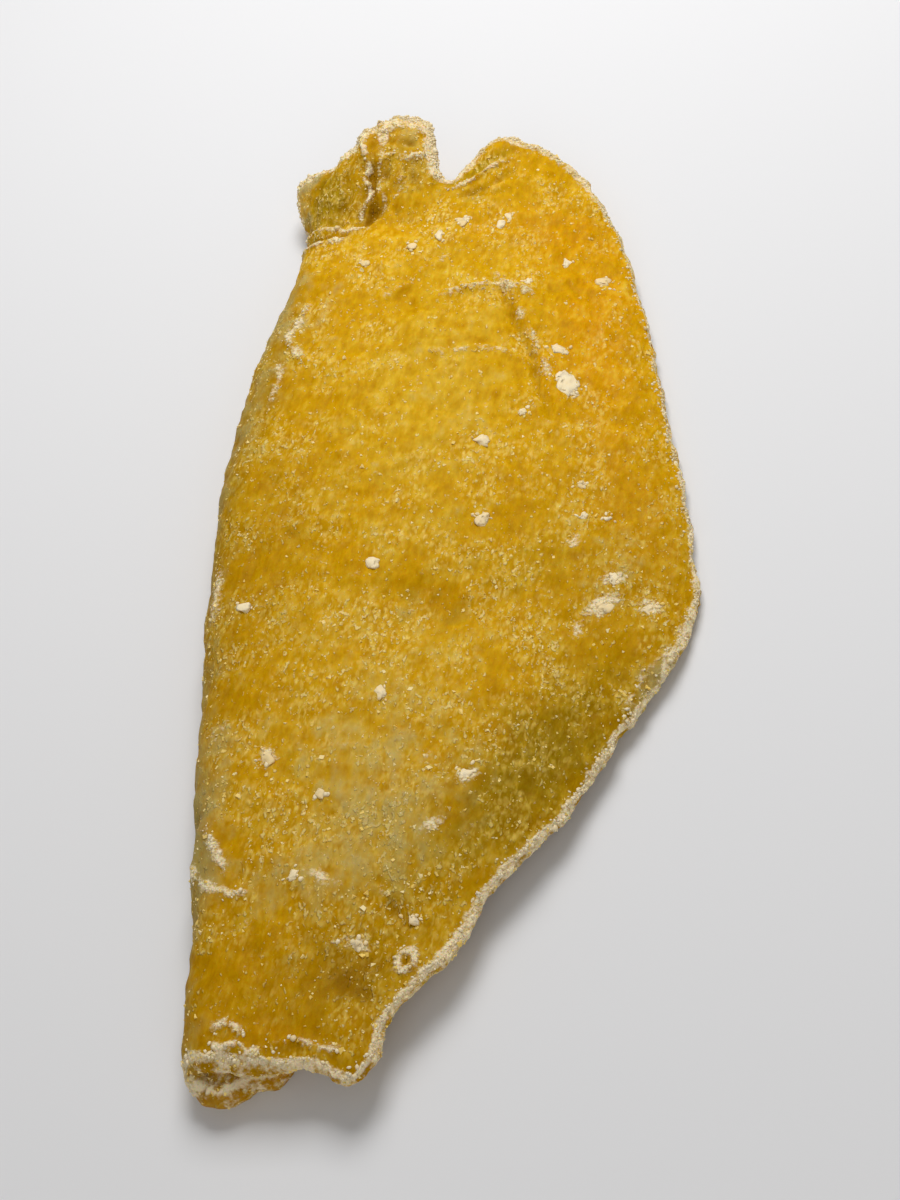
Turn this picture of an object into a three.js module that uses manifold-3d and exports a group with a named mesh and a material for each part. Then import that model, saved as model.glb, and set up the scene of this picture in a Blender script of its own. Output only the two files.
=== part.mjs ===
// A dried mango slice: one thin leathery sheet, arched between a left margin that is folded under
// along the slice and a right rim that comes down to the ground, with a pleated and notched head.
// Millimetres. X runs across the slice, Y along it from the foot to the head, and Z up from the
// ground that it rests on. The sheet is laid out flat first, as a pattern, and then bent.
import * as THREE from 'three';
import { mergeVertices } from 'three/addons/utils/BufferGeometryUtils.js';
import Module from 'manifold-3d';

// Thickness of the sheet and of its cut rim, each as [y, thickness] along the slice.
const SHEET_THICKNESS = [[-67, 2.7], [-40, 2.5], [30, 2.4], [48, 2.0], [64, 1.5]];
const RIM_THICKNESS = [[-67, 2.2], [-60, 1.7], [-48, 1.2], [66, 1.0]];
// Width of the band beside the rim in which the sheet thins down to it.
const RIM_TAPER = 3.2;

// The fold under the left side, by y: where it starts, its radius, its angle and its crest's height.
const FOLD_X = [
  [-68, -10.6], [-58, -11.8], [-43, -14.6], [-24, -17.9], [-9, -20.6], [8, -22.6],
  [24, -22.8], [36, -21.8], [46, -21.6], [54, -22.2], [66, -22.8],
];
const FOLD_RADIUS = [[-68, 1.8], [-52, 2.1], [-30, 2.9], [0, 3.3], [22, 3.3], [36, 2.9], [58, 2.9]];
const FOLD_DEGREES = [[-68, 178], [22, 178], [32, 165], [38, 138], [44, 98], [49, 56], [54, 28], [62, 10]];
const CREST_HEIGHT = [
  [-68, 4.85], [-52, 5.4], [-30, 6.95], [0, 7.7], [22, 7.7], [36, 7.6], [48, 7.0], [56, 6.9], [64, 7.0],
];

// The arch from the crest to the right rim, by y: the rim's height and its distance from the middle.
const ARCH_END_HEIGHT = [
  [-68, 3.6], [-54, 4.3], [-42, 3.9], [-28, 2.2], [-12, 1.25], [12, 1.25], [30, 1.6], [46, 2.8], [60, 5.0],
];
const ARCH_END_X = [
  [-66, 6], [-52, 11], [-38, 17], [-24, 24], [-8, 29.5], [8, 26.6], [28, 21], [44, 15.6], [58, 6], [66, 2],
];
const ARCH_POWER = 1.8;
// How far past that distance the arch still falls.
const ARCH_OVERRUN = 1.3;

// Rise and fall of the head's rim, by x, and the stretch of y in which it sets in.
const HEAD_WAVE = [
  [-36, 0.3], [-28, 0.4], [-23, 1.0], [-19, 2.0], [-15.5, 2.0], [-12, 0.9], [-9, -0.7],
  [-6, -0.5], [-2, 1.0], [2, 0.8], [7, 0.2], [14, 0],
];
const HEAD_WAVE_START = 46;
const HEAD_WAVE_END = 61;

// Swells and, below zero, dents: middle x and y, half length, half width, turn in degrees, height.
const SWELLS = [
  [3.7, -11.8, 8, 5, 20, -0.9],
  [3.5, -51.5, 11, 4, 42, -1.5],
  [-19, 46.5, 8, 2.2, -3, -0.7],
  [-1, 12, 18, 12, 75, 0.6],
  [-7, -57, 6, 5, 0, 0.4],
  [9, -33, 12, 6, 50, 0.5],
  [-12, 30, 14, 4, 60, -0.4],
  [-20.5, 57.5, 4.5, 1.3, 80, 0.6],
  [-17.0, 55.5, 5, 1.2, 85, -0.5],
];

// The flat pattern's rim in four sides, counter-clockwise; each ends at the first point of the next.
const FOOT_RIM = [
  [-24.4, -63.2], [-21.0, -65.4], [-17.6, -66.9], [-14.8, -66.2], [-12.2, -64.7],
  [-9.6, -64.8], [-4.3, -64.6], [-0.9, -64.0],
];
const RIGHT_RIM = [
  [3.4, -65.2], [5.3, -62.9], [5.9, -59.4], [7.6, -56.1], [10.6, -52.1], [12.4, -47.4],
  [14.5, -42.8], [16.9, -39.4], [20.4, -33.5], [23.6, -25.5], [27.8, -15.8], [29.8, -8.8],
  [29.3, -3.5], [27.3, 5.2], [24.1, 16.4], [21.3, 26.8], [18.2, 37.4],
];
const HEAD_RIM = [
  [14.3, 47.7], [9.1, 56.3], [4.6, 60.0], [0.8, 61.4], [-2.8, 62.4], [-7.5, 63.4], [-12.0, 65.0],
  [-15.4, 65.6], [-18.2, 64.0], [-20.9, 61.9], [-22.5, 58.6], [-25.9, 58.0], [-29.6, 57.4],
];
const LEFT_RIM = [
  [-30.8, 54.8], [-30.0, 50.4], [-28.4, 45.6], [-29.2, 40.4], [-32.6, 34.0], [-37.6, 26.8],
  [-41.4, 14.0], [-41.8, 2.0], [-39.4, -11.0], [-36.0, -24.0], [-31.0, -42.0], [-26.8, -56.6],
];

// Notch in the head's rim: its depth by x, and the stretch of y over which it sets in.
const NOTCH_DEPTH = [
  [-12.3, 0], [-11.0, 3.0], [-9.9, 6.6], [-8.6, 8.4], [-7.2, 5.6], [-5.2, 2.0], [-2.8, 0],
];
const NOTCH_START = 38;
const NOTCH_END = 62;

// How the columns spread across tuck, bend and arch: as shares of the way across, and as shares of
// the way along the foot's and the head's rim.
const MIDDLE_SHARES = [0, 0.13, 0.28, 1];
const FOOT_SHARES = [0, 0.28, 0.49, 1];
const HEAD_SHARES = [0, 0.12, 0.23, 1];
const COLUMN_COUNTS = [4, 8, 24];
// How the rows spread along: the length of the slice and then its ruffled head.
const ROW_SHARES = [0, 0.86, 1];
const ROW_COUNTS = [48, 14];

// Lumps of sugar on the top: x, y, half length, half width, and turn in degrees.
const SUGAR_LUMPS = [
  [11.7, 20.4, 1.6, 1.2, 60], [10.3, 25.3, 1.1, 0.7, 20], [5.3, -0.9, 0.9, 0.7, 0],
  [3.8, 10.9, 0.7, 0.6, 40], [12.7, 38.7, 0.8, 0.7, 10], [-10.0, 42.5, 0.8, 0.6, 150],
  [-8.8, 45.5, 0.9, 0.5, 80], [-7.1, 46.2, 1.1, 0.5, 50], [-2.7, -7.7, 0.8, 0.7, 30],
  [-21.5, -17.0, 0.8, 0.6, 70],
];
const LUMP_HEIGHT = 0.6;
const LUMP_SIDES = 6;
const LUMP_TIERS = 4;

// How much steps in x and in y count toward the spread of the grid along its sides.
const ACROSS_WEIGHTS = [1, 0.3];
const ALONG_WEIGHTS = [0.3, 1];
const POINTS_PER_SPAN = 12;
const NORMAL_STEP = 0.25;
// Points closer to the ground than this lie on it, so that the tuck's underside is truly flat.
const GROUND_REACH = 0.02;
const FLESH_COLOUR = 0xc2972b;
const WELD_DISTANCE = 1e-4;

// Smooth value at x of a curve through [x, value] stations, level beyond its ends.
function through(stations, x) {
  const last = stations.length - 1;
  const held = Math.min(Math.max(x, stations[0][0]), stations[last][0]);
  let i = 0;
  while (i < last - 1 && stations[i + 1][0] <= held) i += 1;
  const width = stations[i + 1][0] - stations[i][0];
  const t = (held - stations[i][0]) / width;
  const from = slopeAt(stations, i) * width;
  const to = slopeAt(stations, i + 1) * width;
  const start = stations[i][1];
  const end = stations[i + 1][1];
  return start + t * from + t * t * (3 * (end - start) - 2 * from - to)
    + t * t * t * (2 * (start - end) + from + to);
}

function slopeAt(stations, i) {
  const before = stations[Math.max(i - 1, 0)];
  const after = stations[Math.min(i + 1, stations.length - 1)];
  return (after[1] - before[1]) / (after[0] - before[0]);
}

function smoothRamp(from, to, x) {
  return THREE.MathUtils.smoothstep(x, from, to);
}

// Draws the pattern down to open the notch in its head.
function notched(point) {
  point.y -= through(NOTCH_DEPTH, point.x) * smoothRamp(NOTCH_START, NOTCH_END, point.y);
  return point;
}

// The whole rim of the pattern as one dense closed loop, still without the notch.
function rimLoop() {
  const corners = [...FOOT_RIM, ...RIGHT_RIM, ...HEAD_RIM, ...LEFT_RIM];
  const points = corners.map(([x, y]) => new THREE.Vector3(x, y, 0));
  const curve = new THREE.CatmullRomCurve3(points, true, 'catmullrom', 0.5);
  return curve.getPoints(corners.length * POINTS_PER_SPAN).map((p) => new THREE.Vector2(p.x, p.y));
}

// One side of the rim, as a function of the share of the way along it, with steps in x and in y
// counted by the given weights.
function rimSide(loop, firstSpan, spans, [weightX, weightY], backward) {
  const first = firstSpan * POINTS_PER_SPAN;
  const points = loop.slice(first, first + spans * POINTS_PER_SPAN + 1);
  if (backward) points.reverse();
  const lengths = [0];
  for (let i = 1; i < points.length; i += 1) {
    const step = points[i].clone().sub(points[i - 1]);
    lengths.push(lengths[i - 1] + Math.hypot(step.x * weightX, step.y * weightY));
  }
  return (share) => {
    const target = share * lengths[lengths.length - 1];
    let i = 1;
    while (i < points.length - 1 && lengths[i] < target) i += 1;
    const t = (target - lengths[i - 1]) / (lengths[i] - lengths[i - 1]);
    return points[i - 1].clone().lerp(points[i], t);
  };
}

function rimSides(loop) {
  const toRight = FOOT_RIM.length;
  const toHead = toRight + RIGHT_RIM.length;
  const toLeft = toHead + HEAD_RIM.length;
  return {
    foot: rimSide(loop, 0, FOOT_RIM.length, ACROSS_WEIGHTS, false),
    right: rimSide(loop, toRight, RIGHT_RIM.length, ALONG_WEIGHTS, false),
    head: rimSide(loop, toHead, HEAD_RIM.length, ACROSS_WEIGHTS, true),
    left: rimSide(loop, toLeft, LEFT_RIM.length, ALONG_WEIGHTS, true),
  };
}

// Broken line through matching lists of shares.
function mapShare(from, to, x) {
  let i = 1;
  while (i < from.length - 1 && from[i] < x) i += 1;
  return to[i - 1] + (to[i] - to[i - 1]) * (x - from[i - 1]) / (from[i] - from[i - 1]);
}

// Point of the pattern at a share across and a share along, blended from its four sides.
function patternPoint(sides, across, along) {
  const foot = sides.foot(mapShare(MIDDLE_SHARES, FOOT_SHARES, across));
  const head = sides.head(mapShare(MIDDLE_SHARES, HEAD_SHARES, across));
  const left = sides.left(along);
  const right = sides.right(along);
  const point = new THREE.Vector2();
  point.addScaledVector(foot, 1 - along).addScaledVector(head, along);
  point.addScaledVector(left, 1 - across).addScaledVector(right, across);
  point.addScaledVector(sides.foot(0), -(1 - across) * (1 - along));
  point.addScaledVector(sides.foot(1), -across * (1 - along));
  point.addScaledVector(sides.head(0), -(1 - across) * along);
  point.addScaledVector(sides.head(1), -across * along);
  return notched(point);
}

function distanceToRim(loop, point) {
  const nearest = new THREE.Vector2();
  let best = Infinity;
  for (let i = 1; i < loop.length; i += 1) {
    const along = loop[i].clone().sub(loop[i - 1]);
    const t = point.clone().sub(loop[i - 1]).dot(along) / along.lengthSq();
    nearest.copy(loop[i - 1]).addScaledVector(along, THREE.MathUtils.clamp(t, 0, 1));
    best = Math.min(best, nearest.distanceTo(point));
  }
  return best;
}

// Half of the sheet's thickness, rounding off toward the rim.
function halfThickness(loop, point) {
  const inward = Math.min(distanceToRim(loop, point) / RIM_TAPER, 1);
  const rim = through(RIM_THICKNESS, point.y);
  const full = through(SHEET_THICKNESS, point.y);
  return (rim + (full - rim) * Math.sqrt(1 - (1 - inward) ** 2)) / 2;
}

function swellHeight(x, y) {
  let height = 0;
  for (const [middleX, middleY, halfLength, halfWidth, degrees, highest] of SWELLS) {
    const turn = THREE.MathUtils.degToRad(degrees);
    const u = (x - middleX) * Math.cos(turn) + (y - middleY) * Math.sin(turn);
    const v = (y - middleY) * Math.cos(turn) - (x - middleX) * Math.sin(turn);
    height += highest * Math.exp(-((u / halfLength) ** 2) - (v / halfWidth) ** 2);
  }
  return height;
}

// Place of a pattern point in the middle of the bent sheet, which never goes below the ground.
function bentPoint(x, y, half) {
  const foldX = through(FOLD_X, y);
  const crest = through(CREST_HEIGHT, y);
  const lift = smoothRamp(HEAD_WAVE_START, HEAD_WAVE_END, y) * through(HEAD_WAVE, x) + swellHeight(x, y);
  const place = new THREE.Vector3(x, y, 0);
  if (x < foldX) {
    const radius = through(FOLD_RADIUS, y);
    const full = THREE.MathUtils.degToRad(through(FOLD_DEGREES, y));
    const turned = Math.min((foldX - x) / radius, full);
    const beyond = Math.max(foldX - x - radius * full, 0);
    place.x = foldX - radius * Math.sin(turned) - beyond * Math.cos(full);
    place.z = crest - radius * (1 - Math.cos(turned)) - beyond * Math.sin(full) + lift;
  } else {
    const outward = Math.min((x - foldX) / (through(ARCH_END_X, y) - foldX), ARCH_OVERRUN);
    place.z = crest + (through(ARCH_END_HEIGHT, y) - crest) * outward ** ARCH_POWER + lift;
  }
  place.z = Math.max(place.z, half);
  return place;
}

function bentNormal(x, y, half) {
  const across = bentPoint(x + NORMAL_STEP, y, half).sub(bentPoint(x - NORMAL_STEP, y, half));
  const along = bentPoint(x, y + NORMAL_STEP, half).sub(bentPoint(x, y - NORMAL_STEP, half));
  return across.cross(along).normalize();
}

// Every share from 0 to 1, with the given count of equal steps between neighbouring stops.
function spread(stops, counts) {
  const shares = [0];
  counts.forEach((count, k) => {
    for (let i = 1; i <= count; i += 1) shares.push(stops[k] + (stops[k + 1] - stops[k]) * i / count);
  });
  return shares;
}

// Two triangles for each cell of the grid, split alike on both faces.
function faceTriangles(columns, rows) {
  const triangles = [];
  for (let row = 0; row < rows; row += 1) {
    for (let column = 0; column < columns; column += 1) {
      const near = row * (columns + 1) + column;
      const far = near + columns + 1;
      triangles.push([near, near + 1, far + 1], [near, far + 1, far]);
    }
  }
  return triangles;
}

// Indices of the grid's rim, counter-clockwise.
function rimIndices(columns, rows) {
  const at = (row, column) => row * (columns + 1) + column;
  const rim = [];
  for (let column = 0; column < columns; column += 1) rim.push(at(0, column));
  for (let row = 0; row < rows; row += 1) rim.push(at(row, columns));
  for (let column = columns; column > 0; column -= 1) rim.push(at(rows, column));
  for (let row = rows; row > 0; row -= 1) rim.push(at(row, 0));
  return rim;
}

function sheetSolid(wasm, sides, loop) {
  const acrossShares = spread(MIDDLE_SHARES, COLUMN_COUNTS);
  const alongShares = spread(ROW_SHARES, ROW_COUNTS);
  const top = [];
  const bottom = [];
  for (const along of alongShares) {
    for (const across of acrossShares) {
      const flat = patternPoint(sides, across, along);
      const half = halfThickness(loop, flat);
      const middle = bentPoint(flat.x, flat.y, half);
      const normal = bentNormal(flat.x, flat.y, half);
      top.push(onGround(middle.clone().addScaledVector(normal, half)));
      bottom.push(onGround(middle.clone().addScaledVector(normal, -half)));
    }
  }
  const columns = acrossShares.length - 1;
  const rows = alongShares.length - 1;
  const faces = faceTriangles(columns, rows);
  const under = top.length;
  const triangles = [...faces, ...faces.map(([a, b, c]) => [a + under, c + under, b + under])];
  const rim = rimIndices(columns, rows);
  rim.forEach((a, i) => {
    const b = rim[(i + 1) % rim.length];
    triangles.push([a, a + under, b + under], [a, b + under, b]);
  });
  return solidFrom(wasm, [...top, ...bottom].flatMap((p) => [p.x, p.y, p.z]), triangles.flat());
}

// Keeps a point from going below the ground.
function onGround(point) {
  if (point.z < GROUND_REACH) point.z = 0;
  return point;
}

function solidFrom(wasm, coordinates, indices) {
  return new wasm.Manifold(new wasm.Mesh({
    numProp: 3,
    vertProperties: new Float32Array(coordinates),
    triVerts: new Uint32Array(indices),
  }));
}

// A low faceted lump, half sunk in the top of the sheet.
function lumpSolid(wasm, loop, [x, y, halfLength, halfWidth, degrees]) {
  const sphere = new THREE.SphereGeometry(1, LUMP_SIDES, LUMP_TIERS);
  sphere.deleteAttribute('normal');
  sphere.deleteAttribute('uv');
  const shape = mergeVertices(sphere, WELD_DISTANCE);
  const half = halfThickness(loop, new THREE.Vector2(x, y));
  const middle = bentPoint(x, y, half).addScaledVector(bentNormal(x, y, half), half);
  shape.rotateX(Math.PI / 2);
  shape.scale(halfLength, halfWidth, LUMP_HEIGHT);
  shape.rotateZ(THREE.MathUtils.degToRad(degrees));
  shape.translate(middle.x, middle.y, middle.z);
  return solidFrom(wasm, Array.from(shape.attributes.position.array), Array.from(shape.index.array));
}

// Puts the middle of the solid's footprint on the origin.
function centred(solid) {
  const { min, max } = solid.boundingBox();
  return solid.translate([-(min[0] + max[0]) / 2, -(min[1] + max[1]) / 2, 0]);
}

function meshOf(solid, name) {
  const { vertProperties, triVerts } = solid.getMesh();
  const geometry = new THREE.BufferGeometry();
  geometry.setAttribute('position', new THREE.BufferAttribute(new Float32Array(vertProperties), 3));
  geometry.setIndex(new THREE.BufferAttribute(new Uint32Array(triVerts), 1));
  geometry.computeVertexNormals();
  const flesh = new THREE.MeshStandardMaterial({ name: 'mango_flesh', color: FLESH_COLOUR, roughness: 0.62 });
  const mesh = new THREE.Mesh(geometry, flesh);
  mesh.name = name;
  return mesh;
}

const wasm = await Module();
wasm.setup();
const sides = rimSides(rimLoop());
const loop = rimLoop().map(notched);
let slice = sheetSolid(wasm, sides, loop);
for (const lump of SUGAR_LUMPS) slice = slice.add(lumpSolid(wasm, loop, lump));
slice = centred(slice);

const part = new THREE.Group();
part.name = 'dried_mango_slice';
part.add(meshOf(slice, 'mango_slice'));

export default part;
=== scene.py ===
"""Dressed model of one dried mango slice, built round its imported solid.

Shapes are worked out in millimetres on the slice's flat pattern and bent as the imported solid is.
They turn into metres where a mesh is made.
"""

import logging
import math
from dataclasses import dataclass, field, replace
from enum import Enum
from typing import ClassVar

import bmesh
import bpy
import numpy as np
from mathutils import Matrix, Vector


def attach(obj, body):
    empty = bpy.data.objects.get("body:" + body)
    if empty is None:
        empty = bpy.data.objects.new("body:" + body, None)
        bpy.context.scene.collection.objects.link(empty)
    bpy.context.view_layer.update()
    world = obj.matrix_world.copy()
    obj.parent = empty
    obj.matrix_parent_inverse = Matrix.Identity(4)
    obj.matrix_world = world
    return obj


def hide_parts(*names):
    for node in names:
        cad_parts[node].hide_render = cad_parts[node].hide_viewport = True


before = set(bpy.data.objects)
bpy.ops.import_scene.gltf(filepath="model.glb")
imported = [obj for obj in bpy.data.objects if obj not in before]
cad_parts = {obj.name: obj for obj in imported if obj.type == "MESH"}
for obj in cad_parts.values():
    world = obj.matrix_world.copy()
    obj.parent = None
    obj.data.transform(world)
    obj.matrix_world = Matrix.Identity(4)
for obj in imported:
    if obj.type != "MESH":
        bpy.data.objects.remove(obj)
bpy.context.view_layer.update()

LOG = logging.getLogger("mango")
Array = np.ndarray
Span = tuple[float, float]
Stations = tuple[Span, ...]
Triple = tuple[float, float, float]
Colour = Triple

METRES_PER_MM = 0.001
# From the pattern's origin to the middle of the slice's footprint, which is the frame's origin.
FOOTPRINT_MIDDLE = (-0.1384, -0.6172, 0.0)
# Least length that a direction is divided by.
TINY = 1e-9


def through(stations: Stations, x: Array) -> Array:
    """Read a smooth curve through stations, level beyond its ends.

    Args:
        stations: Pairs of position and value, in rising order.
        x: Positions to read at.

    Returns:
        The values at x.
    """
    at, value = np.array(stations, float).T
    slope = np.empty_like(value)
    slope[1:-1] = (value[2:] - value[:-2]) / (at[2:] - at[:-2])
    slope[0] = (value[1] - value[0]) / (at[1] - at[0])
    slope[-1] = (value[-1] - value[-2]) / (at[-1] - at[-2])
    held = np.clip(x, at[0], at[-1])
    i = np.clip(np.searchsorted(at, held, side="right") - 1, 0, len(at) - 2)
    width = at[i + 1] - at[i]
    t = (held - at[i]) / width
    rise = value[i + 1] - value[i]
    start, end = slope[i] * width, slope[i + 1] * width
    return value[i] + t * start + t * t * (3 * rise - 2 * start - end) + t**3 * (start + end - 2 * rise)


def smooth_ramp(start: float, end: float, x: Array) -> Array:
    """Rise smoothly from 0 at start to 1 at end.

    Args:
        start: Where the rise begins.
        end: Where it is complete; it may lie before start.
        x: Positions to read at.

    Returns:
        The height of the ramp at x.
    """
    t = np.clip((x - start) / (end - start), 0, 1)
    return t * t * (3 - 2 * t)


def smooth_line(corners: Array, per_span: int, closed: bool) -> Array:
    """Draw a smooth line through corners.

    Args:
        corners: The points, one to a row.
        per_span: How many steps there are between neighbours.
        closed: Whether the line runs back to its first point.

    Returns:
        The line's points; a closed line ends where it starts.
    """
    corners = np.asarray(corners, float)
    if closed:
        padded = np.concatenate([corners[-1:], corners, corners[:2]])
    else:
        padded = np.concatenate([2 * corners[:1] - corners[1:2], corners, 2 * corners[-1:] - corners[-2:-1]])
    t = np.linspace(0, 1, per_span, endpoint=False)[:, None]
    spans = []
    for a, b, c, d in zip(padded, padded[1:], padded[2:], padded[3:]):
        square, cube = 2 * a - 5 * b + 4 * c - d, 3 * b - a - 3 * c + d
        spans.append(0.5 * (2 * b + (c - a) * t + square * t**2 + cube * t**3))
    return np.concatenate([*spans, padded[-2:-1]])


def nearest_on_line(points: Array, line: Array) -> tuple[Array, Array, Array]:
    """Find how near a line points are.

    Args:
        points: Points of the pattern, one to a row.
        line: The line's points.

    Returns:
        The distance, the share of the way along the line, and the direction to the line's left there.
    """
    steps = np.diff(line, axis=0)
    ends = np.concatenate([[0], np.cumsum(np.hypot(*steps.T))])
    distance = np.full(len(points), np.inf)
    share = np.zeros(len(points))
    left = np.zeros_like(points)
    for start, step, before in zip(line, steps, ends):
        t = np.clip((points - start) @ step / (step @ step), 0, 1)
        away = np.hypot(*(points - start - t[:, None] * step).T)
        closer = away < distance
        distance[closer] = away[closer]
        share[closer] = (before + t[closer] * math.hypot(*step)) / ends[-1]
        left[closer] = np.array([-step[1], step[0]]) / math.hypot(*step)
    return distance, share, left


@dataclass(frozen=True)
class Unevenness:
    """Smooth seeded random heights between about -1 and 1.

    Attributes:
        seed: Seed of the random slopes.
        size: Distance between neighbouring bumps, mm.
        layers: How many times finer bumps at half the height are added.
        stretch: How much longer the bumps are in x, y and z.
        LATTICE: How many random slopes there are, a power of two.
        LAYER_SHIFT: How far each layer is shifted from the one before it.
        GAIN: What brings the heights to about 1.
    """

    seed: int
    size: float
    layers: int = 1
    stretch: Triple = (1.0, 1.0, 1.0)
    LATTICE: ClassVar[int] = 256
    LAYER_SHIFT: ClassVar[float] = 17.3
    GAIN: ClassVar[float] = 1.6

    def shifted(self, by: int) -> "Unevenness":
        """Make bumps of the same kind with another seed."""
        return replace(self, seed=self.seed + by)

    def at(self, points: Array) -> Array:
        """Read the heights.

        Args:
            points: Points in two or three dimensions, mm.

        Returns:
            One height for each point.
        """
        rng = np.random.default_rng(self.seed)
        slopes = rng.normal(size=(self.LATTICE, 3))
        slopes /= np.linalg.norm(slopes, axis=1)[:, None]
        order = rng.permutation(self.LATTICE)
        place = np.zeros((len(points), 3))
        place[:, : points.shape[1]] = points
        place /= np.array(self.stretch) * self.size
        height = np.zeros(len(points))
        for layer in range(self.layers):
            finer = place * 2.0**layer + self.LAYER_SHIFT * layer
            height += self._one_layer(finer, slopes, order) / 2.0**layer
        return height

    def _one_layer(self, place: Array, slopes: Array, order: Array) -> Array:
        """Read one layer of the heights.

        Args:
            place: Points in units of the bumps' distance.
            slopes: The random slopes.
            order: The order in which the lattice uses them.

        Returns:
            One height for each point.
        """
        last = self.LATTICE - 1
        cell = np.floor(place).astype(int)
        inside = place - cell
        eased = inside**3 * (inside * (inside * 6 - 15) + 10)
        height = np.zeros(len(place))
        for corner in np.ndindex(2, 2, 2):
            x, y, z = ((cell + corner) & last).T
            slope = slopes[order[(order[(order[x] + y) & last] + z) & last]]
            weight = np.prod(np.where(corner, eased, 1 - eased), axis=1)
            height += weight * np.sum(slope * (inside - corner), axis=1)
        return height * self.GAIN


@dataclass(frozen=True)
class Patch:
    """A soft-edged oval on the pattern: its middle, half length, half width, turn in degrees and strength."""

    x: float
    y: float
    half_length: float
    half_width: float
    turn: float
    amount: float

    def at(self, points: Array) -> Array:
        """Read its strength.

        Args:
            points: Points of the pattern.

        Returns:
            One strength for each point.
        """
        turn = math.radians(self.turn)
        x, y = points[:, 0] - self.x, points[:, 1] - self.y
        u = x * math.cos(turn) + y * math.sin(turn)
        v = y * math.cos(turn) - x * math.sin(turn)
        return self.amount * np.exp(-((u / self.half_length) ** 2) - (v / self.half_width) ** 2)


Patches = tuple[Patch, ...]


def patches(*rows: tuple[float, ...]) -> Patches:
    """Make patches from rows of their numbers."""
    return tuple(Patch(*row) for row in rows)


def together(ovals: Patches, points: Array) -> Array:
    """Add up patches at points of the pattern."""
    return sum((oval.at(points) for oval in ovals), np.zeros(len(points)))


@dataclass(frozen=True)
class Stroke:
    """A crease or a ridge that runs along a line on the pattern.

    Attributes:
        line: Points that it runs through.
        width: Half width, mm.
        height: Height over the skin, mm; below zero for a groove.
        crust: How much pale crust it carries, from 0 to 1.
        STEPS: Steps of its smooth line between two of its points.
        REACH: How many half widths aside it is felt.
        END_SLOPE: How fast it grows from its ends, over its whole length.
        END_STRENGTH: What it starts with there.
    """

    line: Stations
    width: float
    height: float
    crust: float = 0.0
    STEPS: ClassVar[int] = 5
    REACH: ClassVar[float] = 3
    END_SLOPE: ClassVar[float] = 5
    END_STRENGTH: ClassVar[float] = 0.15

    def at(self, points: Array) -> Array:
        """Read how near the stroke's line points are.

        Args:
            points: Points of the pattern.

        Returns:
            1 on the line, falling to 0 beside it and at its ends.
        """
        near = np.zeros(len(points))
        line = smooth_line(np.array(self.line), self.STEPS, closed=False)
        reach = self.REACH * self.width
        low, high = line.min(0) - reach, line.max(0) + reach
        close = np.all((points > low) & (points < high), axis=1)
        distance, share, _ = nearest_on_line(points[close], line)
        fade = np.clip(np.minimum(share, 1 - share) * self.END_SLOPE + self.END_STRENGTH, 0, 1)
        near[close] = np.exp(-((distance / self.width) ** 2)) * fade
        return near


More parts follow.
